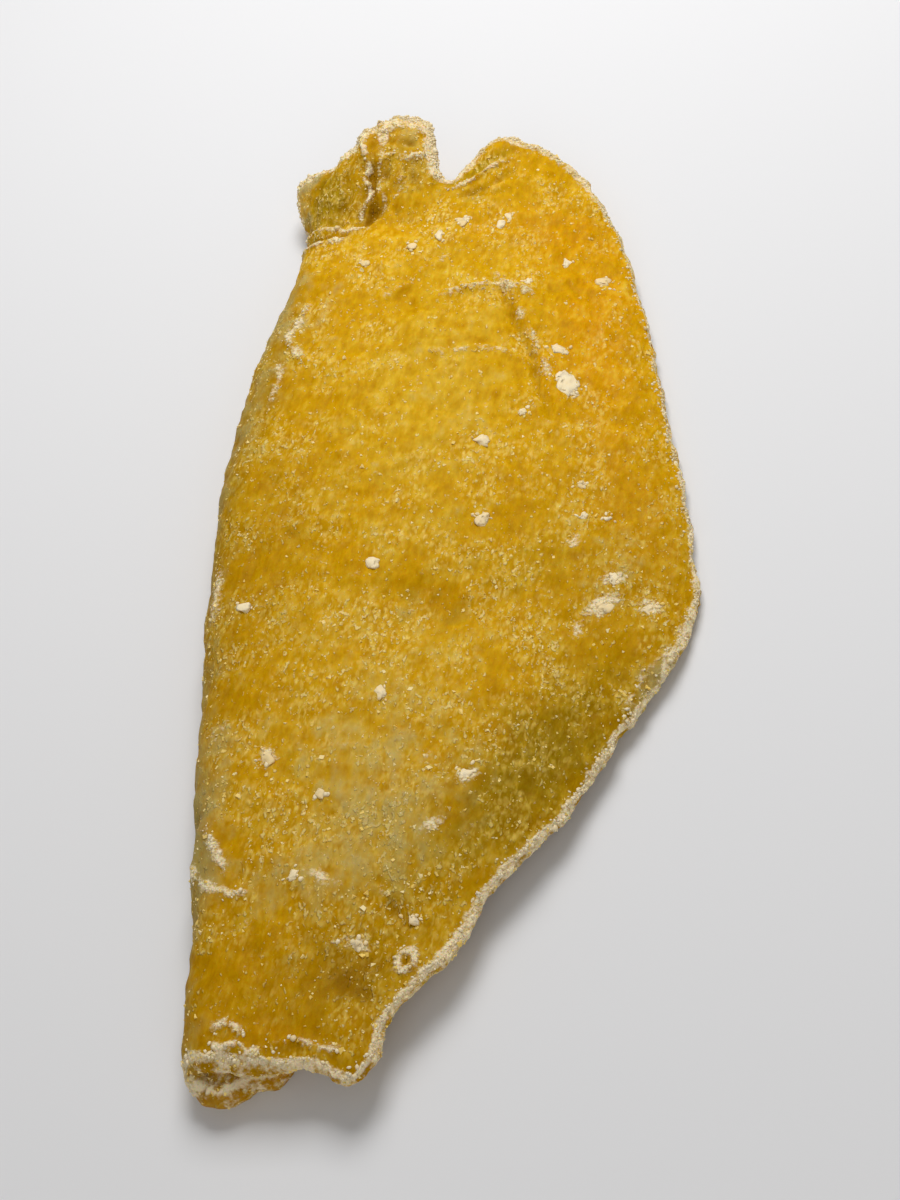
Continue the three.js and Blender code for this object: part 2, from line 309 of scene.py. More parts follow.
@dataclass(frozen=True)
class FlatPattern:
    """The slice's outline before it is bent, in four sides counter-clockwise, with a notch in its head."""

    foot: Stations = (
        (-24.4, -63.2), (-21.0, -65.4), (-17.6, -66.9), (-14.8, -66.2), (-12.2, -64.7),
        (-9.6, -64.8), (-4.3, -64.6), (-0.9, -64.0),
    )
    right: Stations = (
        (3.4, -65.2), (5.3, -62.9), (5.9, -59.4), (7.6, -56.1), (10.6, -52.1), (12.4, -47.4),
        (14.5, -42.8), (16.9, -39.4), (20.4, -33.5), (23.6, -25.5), (27.8, -15.8), (29.8, -8.8),
        (29.3, -3.5), (27.3, 5.2), (24.1, 16.4), (21.3, 26.8), (18.2, 37.4),
    )
    head: Stations = (
        (14.3, 47.7), (9.1, 56.3), (4.6, 60.0), (0.8, 61.4), (-2.8, 62.4), (-7.5, 63.4), (-12.0, 65.0),
        (-15.4, 65.6), (-18.2, 64.0), (-20.9, 61.9), (-22.5, 58.6), (-25.9, 58.0), (-29.6, 57.4),
    )
    left: Stations = (
        (-30.8, 54.8), (-30.0, 50.4), (-28.4, 45.6), (-29.2, 40.4), (-32.6, 34.0), (-37.6, 26.8),
        (-41.4, 14.0), (-41.8, 2.0), (-39.4, -11.0), (-36.0, -24.0), (-31.0, -42.0), (-26.8, -56.6),
    )
    notch_depth: Stations = (
        (-12.3, 0), (-11.0, 3.0), (-9.9, 6.6), (-8.6, 8.4), (-7.2, 5.6), (-5.2, 2.0), (-2.8, 0),
    )
    notch_y: Span = (38, 62)
    middle_shares: tuple[float, ...] = (0, 0.13, 0.28, 1)
    foot_shares: tuple[float, ...] = (0, 0.28, 0.49, 1)
    head_shares: tuple[float, ...] = (0, 0.12, 0.23, 1)
    steps_per_span: int = 12
    minor_weight: float = 0.3

    def notched(self, points: Array) -> Array:
        """Draw points down to open the notch in the head.

        Args:
            points: Points of the pattern.

        Returns:
            The points, drawn down.
        """
        depth = through(self.notch_depth, points[:, 0])
        down = depth * smooth_ramp(*self.notch_y, points[:, 1])
        return np.stack([points[:, 0], points[:, 1] - down], axis=1)

    def whole_rim(self) -> Array:
        """Draw the closed rim without its notch."""
        corners = np.array(self.foot + self.right + self.head + self.left)
        return smooth_line(corners, self.steps_per_span, closed=True)

    def rim(self) -> Array:
        """Draw the closed rim with its notch."""
        return self.notched(self.whole_rim())

    def _side(self, first: int, spans: int, weights: Array, backward: bool, shares: Array) -> Array:
        """Place points along one side of the rim.

        Args:
            first: Number of the side's first corner.
            spans: How many spans it has.
            weights: How much steps in x and in y count.
            backward: Whether the side is read from its far end.
            shares: Shares of the way along it.

        Returns:
            One point for each share.
        """
        start = first * self.steps_per_span
        line = self.whole_rim()[start : start + spans * self.steps_per_span + 1]
        if backward:
            line = line[::-1]
        ends = np.concatenate([[0], np.cumsum(np.hypot(*(np.diff(line, axis=0) * weights).T))])
        return np.stack([np.interp(shares * ends[-1], ends, line[:, k]) for k in (0, 1)], axis=-1)

    def grid(self, across: Array, along: Array) -> Array:
        """Blend the pattern's points from its four sides.

        Args:
            across: Shares of the way from the left side to the right one.
            along: Shares of the way from the foot to the head.

        Returns:
            The points, row by row from the foot.
        """
        counts = np.cumsum([0, len(self.foot), len(self.right), len(self.head)])
        wide, long = np.array([1, self.minor_weight]), np.array([self.minor_weight, 1])
        foot_map = np.interp(across, self.middle_shares, self.foot_shares)
        head_map = np.interp(across, self.middle_shares, self.head_shares)
        foot = self._side(0, len(self.foot), wide, False, foot_map)[None]
        head = self._side(counts[2], len(self.head), wide, True, head_map)[None]
        right = self._side(counts[1], len(self.right), long, False, along)[:, None]
        left = self._side(counts[3], len(self.left), long, True, along)[:, None]
        a, b = across[None, :, None], along[:, None, None]
        corners = (1 - a) * ((1 - b) * foot[:, :1] + b * head[:, :1])
        corners = corners + a * ((1 - b) * foot[:, -1:] + b * head[:, -1:])
        blended = (1 - b) * foot + b * head + (1 - a) * left + a * right - corners
        return self.notched(blended.reshape(-1, 2))


@dataclass(frozen=True)
class BentSheet:
    """The thin sheet over the pattern: folded under on the left, arched to the right, wavy at the head."""

    thickness: Stations = ((-67, 2.7), (-40, 2.5), (30, 2.4), (48, 2.0), (64, 1.5))
    rim_thickness: Stations = ((-67, 1.5), (-60, 1.0), (-48, 0.75), (50, 0.7), (66, 0.6))
    rim_taper: float = 3.2
    fold_x: Stations = (
        (-68, -10.6), (-58, -11.8), (-43, -14.6), (-24, -17.9), (-9, -20.6), (8, -22.6),
        (24, -22.8), (36, -21.8), (46, -21.6), (54, -22.2), (66, -22.8),
    )
    fold_radius: Stations = ((-68, 1.8), (-52, 2.1), (-30, 2.9), (0, 3.3), (22, 3.3), (36, 2.9), (58, 2.9))
    fold_degrees: Stations = (
        (-68, 178), (22, 178), (32, 165), (38, 138), (44, 98), (49, 56), (54, 28), (62, 10),
    )
    crest_height: Stations = (
        (-68, 4.85), (-52, 5.4), (-30, 6.95), (0, 7.7), (22, 7.7), (36, 7.6), (48, 7.0), (56, 6.9), (64, 7.0),
    )
    arch_end_height: Stations = (
        (-68, 3.6), (-54, 4.3), (-42, 3.9), (-28, 2.2), (-12, 1.25), (12, 1.25), (30, 1.6),
        (46, 2.8), (60, 5.0),
    )
    arch_end_x: Stations = (
        (-66, 6), (-52, 11), (-38, 17), (-24, 24), (-8, 29.5), (8, 26.6), (28, 21),
        (44, 15.6), (58, 6), (66, 2),
    )
    arch_power: float = 1.8
    arch_overrun: float = 1.3
    head_wave: Stations = (
        (-36, 0.3), (-28, 0.4), (-23, 1.0), (-19, 2.0), (-15.5, 2.0), (-12, 0.9), (-9, -0.7),
        (-6, -0.5), (-2, 1.0), (2, 0.8), (7, 0.2), (14, 0),
    )
    head_wave_y: Span = (46, 61)
    swells: Patches = patches(
        (3.7, -11.8, 8, 5, 20, -0.9), (3.5, -51.5, 11, 4, 42, -1.5), (-19, 46.5, 8, 2.2, -3, -0.7),
        (-1, 12, 18, 12, 75, 0.6), (-7, -57, 6, 5, 0, 0.4), (9, -33, 12, 6, 50, 0.5),
        (-12, 30, 14, 4, 60, -0.4), (-20.5, 57.5, 4.5, 1.3, 80, 0.15), (-17.0, 55.5, 5, 1.2, 85, -0.5),
    )
    normal_step: float = 0.25

    def half_thickness(self, points: Array, to_rim: Array) -> Array:
        """Read half of the sheet's thickness, which rounds off toward the rim.

        Args:
            points: Points of the pattern.
            to_rim: Their distances to the rim.

        Returns:
            One half thickness for each point.
        """
        inward = np.clip(to_rim / self.rim_taper, 0, 1)
        rim, full = through(self.rim_thickness, points[:, 1]), through(self.thickness, points[:, 1])
        return (rim + (full - rim) * np.sqrt(1 - (1 - inward) ** 2)) / 2

    def middle(self, points: Array, half: Array) -> Array:
        """Bend points of the pattern to the middle of the sheet.

        Args:
            points: Points of the pattern.
            half: Half thicknesses, below which the middle can't sink to the ground.

        Returns:
            Their places in three dimensions.
        """
        x, y = points.T
        fold_x, crest = through(self.fold_x, y), through(self.crest_height, y)
        wave = smooth_ramp(*self.head_wave_y, y) * through(self.head_wave, x)
        radius, full = through(self.fold_radius, y), np.radians(through(self.fold_degrees, y))
        past = np.maximum(fold_x - x, 0)
        turned = np.minimum(past / radius, full)
        beyond = np.maximum(past - radius * full, 0)
        outward = np.clip((x - fold_x) / (through(self.arch_end_x, y) - fold_x), 0, self.arch_overrun)
        arch = (through(self.arch_end_height, y) - crest) * outward**self.arch_power
        bend = radius * (1 - np.cos(turned)) + beyond * np.sin(full)
        height = crest + arch - bend + wave + together(self.swells, points)
        across = np.maximum(x, fold_x) - radius * np.sin(turned) - beyond * np.cos(full)
        return np.stack([across, y, np.maximum(height, half)], axis=1)

    def normal(self, points: Array, half: Array) -> Array:
        """Find the sheet's upward directions.

        Args:
            points: Points of the pattern.
            half: Half thicknesses there.

        Returns:
            One direction for each point.
        """
        aside, ahead = np.array([self.normal_step, 0]), np.array([0, self.normal_step])
        across = self.middle(points + aside, half) - self.middle(points - aside, half)
        along = self.middle(points + ahead, half) - self.middle(points - ahead, half)
        normal = np.cross(across, along)
        return normal / np.linalg.norm(normal, axis=1)[:, None]


class Side(Enum):
    """Face of the sheet, by the sign of its offset from the middle."""

    TOP = 1
    UNDER = -1


@dataclass(frozen=True)
class SkinRelief:
    """The skin's creases, pleats and dimples, as heights over the smooth sheet in mm."""

    strokes: tuple[Stroke, ...] = (
        # Pale curved wrinkle below the head, and the long crease that crosses it.
        Stroke(
            ((-6.6, 32.6), (-4.2, 33.6), (-2.3, 34.7), (0.3, 35.4), (4.0, 35.3), (6.7, 33.4)),
            0.55, 0.36, 0.7,
        ),
        Stroke(((-1.1, 39.6), (1.3, 35.6), (4.4, 29.8), (7.4, 24.1), (8.9, 19.1), (11.7, 14.0)), 0.65, -0.42),
        Stroke(((0.2, 38.6), (3.4, 33.4), (6.6, 27.4), (8.8, 23.2), (10.0, 18.6)), 0.6, 0.34, 0.45),
        Stroke(((-5.6, 23.7), (-2.4, 23.7), (1.4, 25.0), (5.8, 23.9), (8.0, 21.9)), 0.5, 0.26, 0.35),
        Stroke(
            ((-14.5, 31.8), (-12.8, 32.7), (-10.0, 34.5), (-8.4, 37.8), (-6.0, 39.8), (-3.2, 43.2)),
            0.6, 0.14, 0.25,
        ),
        Stroke(((-13.4, 31.2), (-9.2, 33.6), (-7.3, 37.0), (-4.9, 38.9)), 0.6, -0.12),
        Stroke(((-21.2, 31.7), (-21.9, 28.6), (-22.4, 25.2), (-20.8, 22.6), (-19.0, 21.0)), 0.6, 0.25, 0.6),
        # Faint wrinkles in the middle.
        Stroke(((-15.9, 13.8), (-13.4, 9.7), (-11.0, 5.2), (-11.9, 2.6)), 0.5, 0.12, 0.12),
        Stroke(((-11.9, 2.6), (-7.8, 4.6), (-4.3, 6.7), (-2.8, 9.0)), 0.5, 0.12, 0.12),
        Stroke(((-1.6, 10.0), (-0.1, 7.8), (2.0, 4.8), (2.8, 2.3)), 0.45, -0.14),
        Stroke(((-3.6, 13.4), (-5.0, 19.0), (-4.2, 25.6)), 0.5, 0.1, 0.1),
        # The crease under the ruffled lobe, between two pale ridges.
        Stroke(((-27.5, 44.9), (-25.0, 44.7), (-22.3, 44.6), (-19.5, 44.6), (-16.7, 45.4)), 0.45, 0.3, 0.75),
        Stroke(((-27.8, 43.5), (-24.8, 43.4), (-21.5, 43.3), (-18.0, 44.1)), 0.4, -0.38),
        Stroke(((-27.6, 42.2), (-24.6, 42.1), (-21.3, 42.1), (-18.0, 43.0)), 0.45, 0.25, 0.65),
        # The lobe's brown seam between two crooked crusted strings.
        Stroke(
            ((-19.6, 60.2), (-19.8, 58.4), (-19.0, 57.0), (-18.6, 55.4), (-18.9, 53.6), (-18.0, 52.2),
             (-17.9, 50.2), (-18.6, 48.4), (-17.9, 46.8)),
            0.35, 0.2, 0.65,
        ),
        Stroke(
            ((-17.9, 58.8), (-17.3, 57.2), (-17.5, 55.4), (-16.6, 53.9), (-16.9, 52.4), (-15.9, 50.8),
             (-15.6, 49.0), (-16.2, 47.2)),
            0.3, 0.16, 0.4,
        ),
        Stroke(((-18.5, 56.4), (-18.2, 54.4), (-17.5, 52.0), (-17.1, 49.6), (-17.2, 47.0)), 0.45, -0.5),
        Stroke(((-22.0, 57.8), (-21.2, 55.6), (-21.5, 53.0), (-20.7, 50.6)), 0.6, 0.22, 0.1),
        Stroke(((-25.0, 56.8), (-24.4, 54.0), (-24.8, 51.2)), 0.7, 0.2, 0.0),
        Stroke(((-14.6, 54.4), (-14.0, 52.0), (-14.5, 49.8)), 0.4, 0.2, 0.35),
        # The cup at the lobe's tip.
        Stroke(
            ((-17.2, 58.4), (-17.6, 60.6), (-16.6, 62.6), (-14.3, 63.2), (-12.4, 61.9), (-11.7, 58.9)),
            0.7, 0.2, 0.9,
        ),
        Stroke(((-17.0, 57.6), (-14.8, 57.2), (-12.4, 57.9), (-11.2, 59.0)), 0.5, 0.25, 0.85),
        Stroke(((-16.4, 59.7), (-14.6, 59.5), (-12.8, 60.0)), 0.75, -0.3),
        # The rolled right arm of the notch.
        Stroke(((-8.4, 52.9), (-6.6, 53.7), (-4.6, 55.0), (-2.6, 56.6), (-0.4, 57.7)), 0.35, 0.3, 0.8),
        Stroke(((-7.6, 51.4), (-4.4, 52.8), (-1.6, 54.6), (1.2, 56.4)), 0.7, -0.3),
        # The foot: pale loops of crust, the valley and the pit.
        Stroke(((-10.6, -62.9), (-9.3, -63.4), (-7.8, -62.9), (-6.6, -63.5), (-5.2, -62.9)), 0.4, 0.3, 0.95),
        Stroke(((-10.9, -61.6), (-9.2, -60.9), (-7.4, -61.9)), 0.35, 0.2, 0.8),
        Stroke(((-4.6, -62.7), (-2.0, -61.9), (0.6, -62.4), (2.4, -62.2)), 0.4, 0.2, 0.6),
        Stroke(((-1.6, -53.9), (1.0, -55.7), (3.4, -56.8), (5.5, -57.8)), 0.9, -0.25),
        Stroke(((-5.0, -50.2), (-2.2, -52.6), (0.2, -53.2)), 0.8, -0.18),
        Stroke(((2.7, -46.6), (4.8, -47.8), (7.1, -49.1)), 0.8, -0.25),
        Stroke(
            ((6.2, -51.9), (5.9, -52.9), (6.4, -53.9), (7.2, -53.9), (7.7, -52.9), (7.2, -51.9),
             (6.2, -51.9)),
            0.4, 0.32, 0.9,
        ),
        Stroke(((6.6, -52.9), (7.0, -52.9)), 0.5, -0.55),
        # Crust on the fold's crest.
        Stroke(((-16.1, -40.5), (-14.5, -43.3), (-13.1, -45.5)), 0.5, 0.22, 0.8),
        Stroke(((-17.6, -42.6), (-15.6, -46.2), (-12.6, -47.7), (-9.4, -47.2)), 0.5, 0.2, 0.6),
        Stroke(((-22.6, 14.0), (-22.2, 18.2), (-23.0, 21.4)), 0.6, 0.2, 0.45),
        Stroke(((-22.8, -8.6), (-21.6, -12.4), (-21.2, -16.6)), 0.6, 0.2, 0.5),
        # The curled lip on the right rim, with a crusted line along its inner side.
        Stroke(
            ((28.5, -12.5), (26.9, -14.8), (25.4, -16.9), (24.4, -19.6), (23.8, -22.1), (24.6, -23.9)),
            0.3, 0.22, 0.45,
        ),
        Stroke(((29.0, -13.4), (27.6, -15.8), (25.9, -18.6), (25.0, -21.2), (24.9, -23.6)), 0.9, 0.28),
    )
    # Smears of sugar that lie flat on the skin.
    smears: Patches = patches(
        (20.4, -6.4, 1.3, 0.9, 20, 0.9), (19.8, -10.0, 1.8, 1.2, 40, 0.9), (24.6, -9.6, 1.2, 0.9, 0, 0.8),
        (17.6, -13.6, 1.2, 0.7, 60, 0.6), (15.6, -2.4, 0.6, 1.4, 10, 0.5), (9.4, -32.4, 1.5, 0.8, 20, 0.7),
        (-11.6, -32.6, 0.9, 1.4, 0, 0.7), (-17.6, -30.0, 0.8, 1.2, 0, 0.5), (1.2, -51.2, 1.4, 0.8, 0, 0.6),
        (-3.2, -45.2, 1.6, 0.8, -20, 0.5), (6.8, -38.6, 1.6, 0.9, 40, 0.45), (-18.4, -48.0, 0.8, 1.4, 0, 0.6),
        (-26.0, 58.0, 1.6, 1.0, 0, 0.9),
    )
    stroke_gain: float = 1.35
    sink: float = 0.12

    # Waves, dimples, pores and lengthwise wrinkles of both faces.
    waves: Unevenness = Unevenness(40, 9.0, 2)
    wave_height: float = 0.28
    dimples: Unevenness = Unevenness(50, 3.0, 2)
    dimple_depth: float = 0.2
    pores: Unevenness = Unevenness(51, 1.2)
    pore_depth: float = 0.11
    wrinkles: Unevenness = Unevenness(52, 2.4, 2, (1, 3.0, 1))
    wrinkle_depth: float = 0.28
    seeds_apart: int = 10

    # Raised bead beside the rim.
    lip_height: float = 0.14
    lip_width: float = 0.5
    lip_inset: float = 0.15
    lip_bumps: Unevenness = Unevenness(71, 2.0, 2)
    lip_mean: float = 0.75
    lip_change: float = 0.5
    groove_share: float = 0.45

    # Crumpled skin of the ruffled lobe.
    ruffles: Unevenness = Unevenness(73, 3.2, 3, (1, 1.8, 1))
    ruffle_height: float = 0.95
    ruffle_crest: float = 0.12
    ruffle_y: Span = (44.5, 47)
    ruffle_x: Span = (-10, -14)

    # Crust on strokes, smears, frosted spots and the rim, and its crumbly top.
    crust_gaps: Unevenness = Unevenness(74, 1.7, 2)
    crust_mean: float = 1.3
    crust_change: float = 1.6
    crust_limits: Span = (0.1, 1.9)
    frost: Unevenness = Unevenness(75, 1.9, 3, (1, 1.3, 1))
    frost_level: Span = (0.5, 1.1)
    frost_y: Span = (20, -20)
    frost_amount: float = 0.4
    crumbs: Unevenness = Unevenness(76, 1.0, 2)
    crumb_height: float = 0.11
    crumb_reach: float = 1.1

    # Swelling between the two layers inside the fold's end at the foot.
    pinch_depth: float = 0.42
    pinch_rim_depth: float = 0.75
    pinch_rim_reach: float = 2.2
    pinch_fold_depth: float = 0.35
    pinch_fold_x: Span = (-11, -14)
    pinch_x: Span = (-1, -6)
    pinch_y: Span = (-54, -61)

    def height(self, side: Side, points: Array, to_rim: Array) -> Array:
        """Read the relief of one face.

        Args:
            side: Which face of the sheet.
            points: Points of the pattern.
            to_rim: Their distances to the rim.

        Returns:
            Heights over the smooth sheet, mm.
        """
        height = self.wave_height * self.waves.shifted(side.value).at(points) + self.fine(side, points)
        height += self.lip(points, to_rim) - self.sink
        if side is Side.TOP:
            crusted = np.maximum(self.crust(points), np.exp(-((to_rim / self.crumb_reach) ** 2)))
            height += self.crumb_height * crusted * self.crumbs.at(points)
            height += self.stroke_gain * sum(stroke.height * stroke.at(points) for stroke in self.strokes)
            height += self.ruffle(points)
        else:
            height += self.pinch(points, to_rim)
        return height

    def fine(self, side: Side, points: Array) -> Array:
        """Read the dimples, the pores and the lengthwise wrinkles of one face.

        Args:
            side: Which face of the sheet.
            points: Points of the pattern.

        Returns:
            Heights, mm.
        """
        kinds = (self.dimples, self.pores, self.wrinkles)
        dimples, pores, wrinkles = (k.shifted(self.seeds_apart * side.value).at(points) for k in kinds)
        return self.dimple_depth * dimples + self.pore_depth * pores - self.wrinkle_depth * np.abs(wrinkles)

    def pinch(self, points: Array, to_rim: Array) -> Array:
        """Read how the two layers swell together inside the fold's end at the foot.

        Args:
            points: Points of the pattern.
            to_rim: Their distances to the rim.

        Returns:
            Heights, mm.
        """
        x, y = points.T
        swell = self.pinch_depth + self.pinch_rim_depth * np.exp(-to_rim / self.pinch_rim_reach)
        swell = swell + self.pinch_fold_depth * smooth_ramp(*self.pinch_fold_x, x)
        return swell * smooth_ramp(*self.pinch_y, y) * smooth_ramp(*self.pinch_x, x)

    def lip(self, points: Array, to_rim: Array) -> Array:
        """Read the raised bead beside the rim, with the groove behind it.

        Args:
            points: Points of the pattern.
            to_rim: Their distances to the rim.

        Returns:
            Heights, mm.
        """
        uneven = self.lip_mean + self.lip_change * self.lip_bumps.at(points)
        bead = np.exp(-(((to_rim - self.lip_inset) / self.lip_width) ** 2))
        groove = np.exp(-(((to_rim - self.lip_inset - 2 * self.lip_width) / self.lip_width) ** 2))
        return self.lip_height * uneven * (bead - self.groove_share * groove)

    def ruffle(self, points: Array) -> Array:
        """Read the crumpled skin of the ruffled lobe.

        Args:
            points: Points of the pattern.

        Returns:
            Heights, mm.
        """
        x, y = points.T
        mask = smooth_ramp(*self.ruffle_y, y) * smooth_ramp(*self.ruffle_x, x)
        return self.ruffle_height * mask * (self.ruffle_crest - np.abs(self.ruffles.at(points)))

    def crust(self, points: Array) -> Array:
        """Read how much pale crust lies on the strokes, the smears and the frosted spots.

        Args:
            points: Points of the pattern.

        Returns:
            A share from 0 to 1 for each point.
        """
        broken = np.clip(self.crust_mean + self.crust_change * self.crust_gaps.at(points), *self.crust_limits)
        ridges = sum(stroke.crust * stroke.at(points) for stroke in self.strokes)
        spots = smooth_ramp(*self.frost_level, self.frost.at(points))
        spots = spots * smooth_ramp(*self.frost_y, points[:, 1])
        return np.clip(broken * (ridges + together(self.smears, points)) + self.frost_amount * spots, 0, 1)


class Blend(Enum):
    """How a colour is laid over another."""

    MIX = "MIX"
    MULTIPLY = "MULTIPLY"


class Wire:
    """A shader value that Python expressions can be written on."""

    def __init__(self, tree: "ShaderTree", socket: bpy.types.NodeSocket) -> None:
        """Keep the socket and the tree that its nodes go to."""
        self.tree = tree
        self.socket = socket

    def __add__(self, other: "Wire | float") -> "Wire":
        """Add."""
        return self.tree.math("ADD", self, other)

    def __sub__(self, other: "Wire | float") -> "Wire":
        """Subtract."""
        return self.tree.math("SUBTRACT", self, other)

    def __rsub__(self, other: float) -> "Wire":
        """Subtract from a number."""
        return self.tree.math("SUBTRACT", other, self)

    def __mul__(self, other: "Wire | float") -> "Wire":
        """Multiply."""
        return self.tree.math("MULTIPLY", self, other)

    __radd__ = __add__
    __rmul__ = __mul__


class ShaderTree:
    """The node tree of one material."""

    CLOUD_ROUGHNESS: ClassVar[float] = 0.55

    def __init__(self, name: str) -> None:
        """Make an empty material.

        Args:
            name: The material's name.
        """
        self.material = bpy.data.materials.new(name)
        self.material.use_nodes = True
        self.material.node_tree.nodes.clear()

    def node(self, kind: str, settings: dict[str, object], inputs: dict[int | str, object],
             output: int | str = 0) -> Wire:
        """Add a node.

        Args:
            kind: The node's type.
            settings: Its own settings, set before its sockets.
            inputs: Values or wires for its sockets, by name or number.
            output: Which of its outputs is wanted.

        Returns:
            That output.
        """
        made = self.material.node_tree.nodes.new(kind)
        for name, value in settings.items():
            setattr(made, name, value)
        for key, value in inputs.items():
            if isinstance(value, Wire):
                self.material.node_tree.links.new(value.socket, made.inputs[key])
            else:
                made.inputs[key].default_value = value
        return Wire(self, made.outputs[output])

    def math(self, operation: str, first: "Wire | float", second: "Wire | float") -> Wire:
        """Add a Math node."""
        return self.node("ShaderNodeMath", {"operation": operation}, {0: first, 1: second})

    def ramp(self, value: Wire, low: float, high: float) -> Wire:
        """Rise smoothly from 0 at low to 1 at high."""
        inputs = {0: value, 1: low, 2: high, 3: 0.0, 4: 1.0}
        return self.node("ShaderNodeMapRange", {"interpolation_type": "SMOOTHSTEP"}, inputs)

    def mix(self, factor: "Wire | float", first: "Wire | Colour", second: "Wire | Colour",
            blend: Blend = Blend.MIX) -> Wire:
        """Lay the second colour over the first.

        Args:
            factor: How much of the second colour shows.
            first: The colour below.
            second: The colour above.
            blend: How it is laid over.

        Returns:
            The mixed colour.
        """
        first, second = (c if isinstance(c, Wire) else (*c, 1.0) for c in (first, second))
        settings = {"data_type": "RGBA", "blend_type": blend.value}
        return self.node("ShaderNodeMix", settings, {0: factor, 6: first, 7: second}, 2)

    def millimetres(self, stretch: Triple = (1, 1, 1)) -> Wire:
        """Read the place on the object.

        Args:
            stretch: What it is divided by along each axis.

        Returns:
            The place in millimetres.
        """
        place = self.node("ShaderNodeTexCoord", {}, {}, "Object")
        scale = tuple(1 / METRES_PER_MM / s for s in stretch)
        return self.node("ShaderNodeVectorMath", {"operation": "MULTIPLY"}, {0: place, 1: scale})

    def clouds(self, size: float, detail: float = 2.0, stretch: Triple = (1, 1, 1)) -> Wire:
        """Make soft random clouds.

        Args:
            size: Distance between neighbouring clouds, mm.
            detail: How many times finer clouds are added.
            stretch: How much longer they are along each axis.

        Returns:
            Values from 0 to 1.
        """
        inputs = {
            "Vector": self.millimetres(stretch),
            "Scale": 1 / size,
            "Detail": detail,
            "Roughness": self.CLOUD_ROUGHNESS,
        }
        return self.node("ShaderNodeTexNoise", {}, inputs, 0)

    def centred(self, size: float, stretch: Triple = (1, 1, 1)) -> Wire:
        """Make the same clouds with values from -1 to 1."""
        return self.clouds(size, stretch=stretch) * 2.0 - 1.0

    def attribute(self, name: str) -> Wire:
        """Read a value that the mesh carries."""
        return self.node("ShaderNodeAttribute", {"attribute_name": name}, {}, "Fac")

    def bump(self, strength: float, millimetres: float, height: Wire) -> Wire:
        """Raise the surface by a height of at most that many millimetres."""
        inputs = {"Strength": strength, "Distance": millimetres * METRES_PER_MM, "Height": height}
        return self.node("ShaderNodeBump", {}, inputs)

    def principled(self, inputs: dict[int | str, object]) -> bpy.types.Material:
        """Close the tree with a Principled shader.

        Args:
            inputs: Values or wires for its sockets.

        Returns:
            The finished material.
        """
        surface = self.node("ShaderNodeBsdfPrincipled", {"subsurface_method": "RANDOM_WALK"}, inputs)
        output = self.material.node_tree.nodes.new("ShaderNodeOutputMaterial")
        self.material.node_tree.links.new(surface.socket, output.inputs["Surface"])
        return self.material


@dataclass(frozen=True)
class Clouds:
    """Clouds of several sizes over the skin, each from -1 to 1."""

    tree: ShaderTree
    broad: Wire
    medium: Wire
    small: Wire
    fibre: Wire
    crumbs: Wire

    def on(self, value: Wire, **weights: float) -> Wire:
        """Add the named clouds to a value.

        Args:
            value: What they are added to.
            **weights: How much each of them counts.

        Returns:
            The sum.
        """
        for name, weight in weights.items():
            value = value + getattr(self, name) * weight
        return value

    def cover(self, name: str, low: float, high: float, **weights: float) -> Wire:
        """Find how much of a field of the mesh shows, broken up by the named clouds.

        Args:
            name: The field's name.
            low: Value at which nothing of it shows.
            high: Value at which all of it shows.
            **weights: How much each of the clouds counts.

        Returns:
            A share from 0 to 1.
        """
        return self.tree.ramp(self.on(self.tree.attribute(name), **weights), low, high)


def make_object(name: str, vertices: Array, faces: Array, material: bpy.types.Material,
                attributes: dict[str, Array], smooth: bool = True) -> bpy.types.Object:
    """Make a mesh object.

    Args:
        name: The piece's name.
        vertices: Places in mm, from the pattern's origin.
        faces: Vertex numbers, one face to a row.
        material: Its finish.
        attributes: Values at the vertices, by name.
        smooth: Whether its faces are shaded smooth.

    Returns:
        The object, in the frame.
    """
    mesh = bpy.data.meshes.new(name)
    count, sides = faces.shape
    mesh.vertices.add(len(vertices))
    mesh.loops.add(faces.size)
    mesh.polygons.add(count)
    placed = (vertices - np.array(FOOTPRINT_MIDDLE)) * METRES_PER_MM
    mesh.vertices.foreach_set("co", placed.astype(np.float32).ravel())
    mesh.loops.foreach_set("vertex_index", faces.astype(np.int32).ravel())
    mesh.polygons.foreach_set("loop_start", np.arange(count, dtype=np.int32) * sides)
    mesh.polygons.foreach_set("loop_total", np.full(count, sides, np.int32))
    mesh.polygons.foreach_set("use_smooth", np.full(count, smooth))
    for key, values in attributes.items():
        layer = mesh.attributes.new(key, "FLOAT", "POINT")
        layer.data.foreach_set("value", values.astype(np.float32))
    mesh.update(calc_edges=True)
    mesh.validate()
    mesh.materials.append(material)
    made = bpy.data.objects.new(name, mesh)
    bpy.context.scene.collection.objects.link(made)
    return made


def on_slice(piece: bpy.types.Object) -> None:
    """Let a piece ride on the slice, and report it.

    Args:
        piece: The piece.
    """
    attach(piece, "root")
    LOG.info("%s: %d faces", piece.name, len(piece.data.polygons))


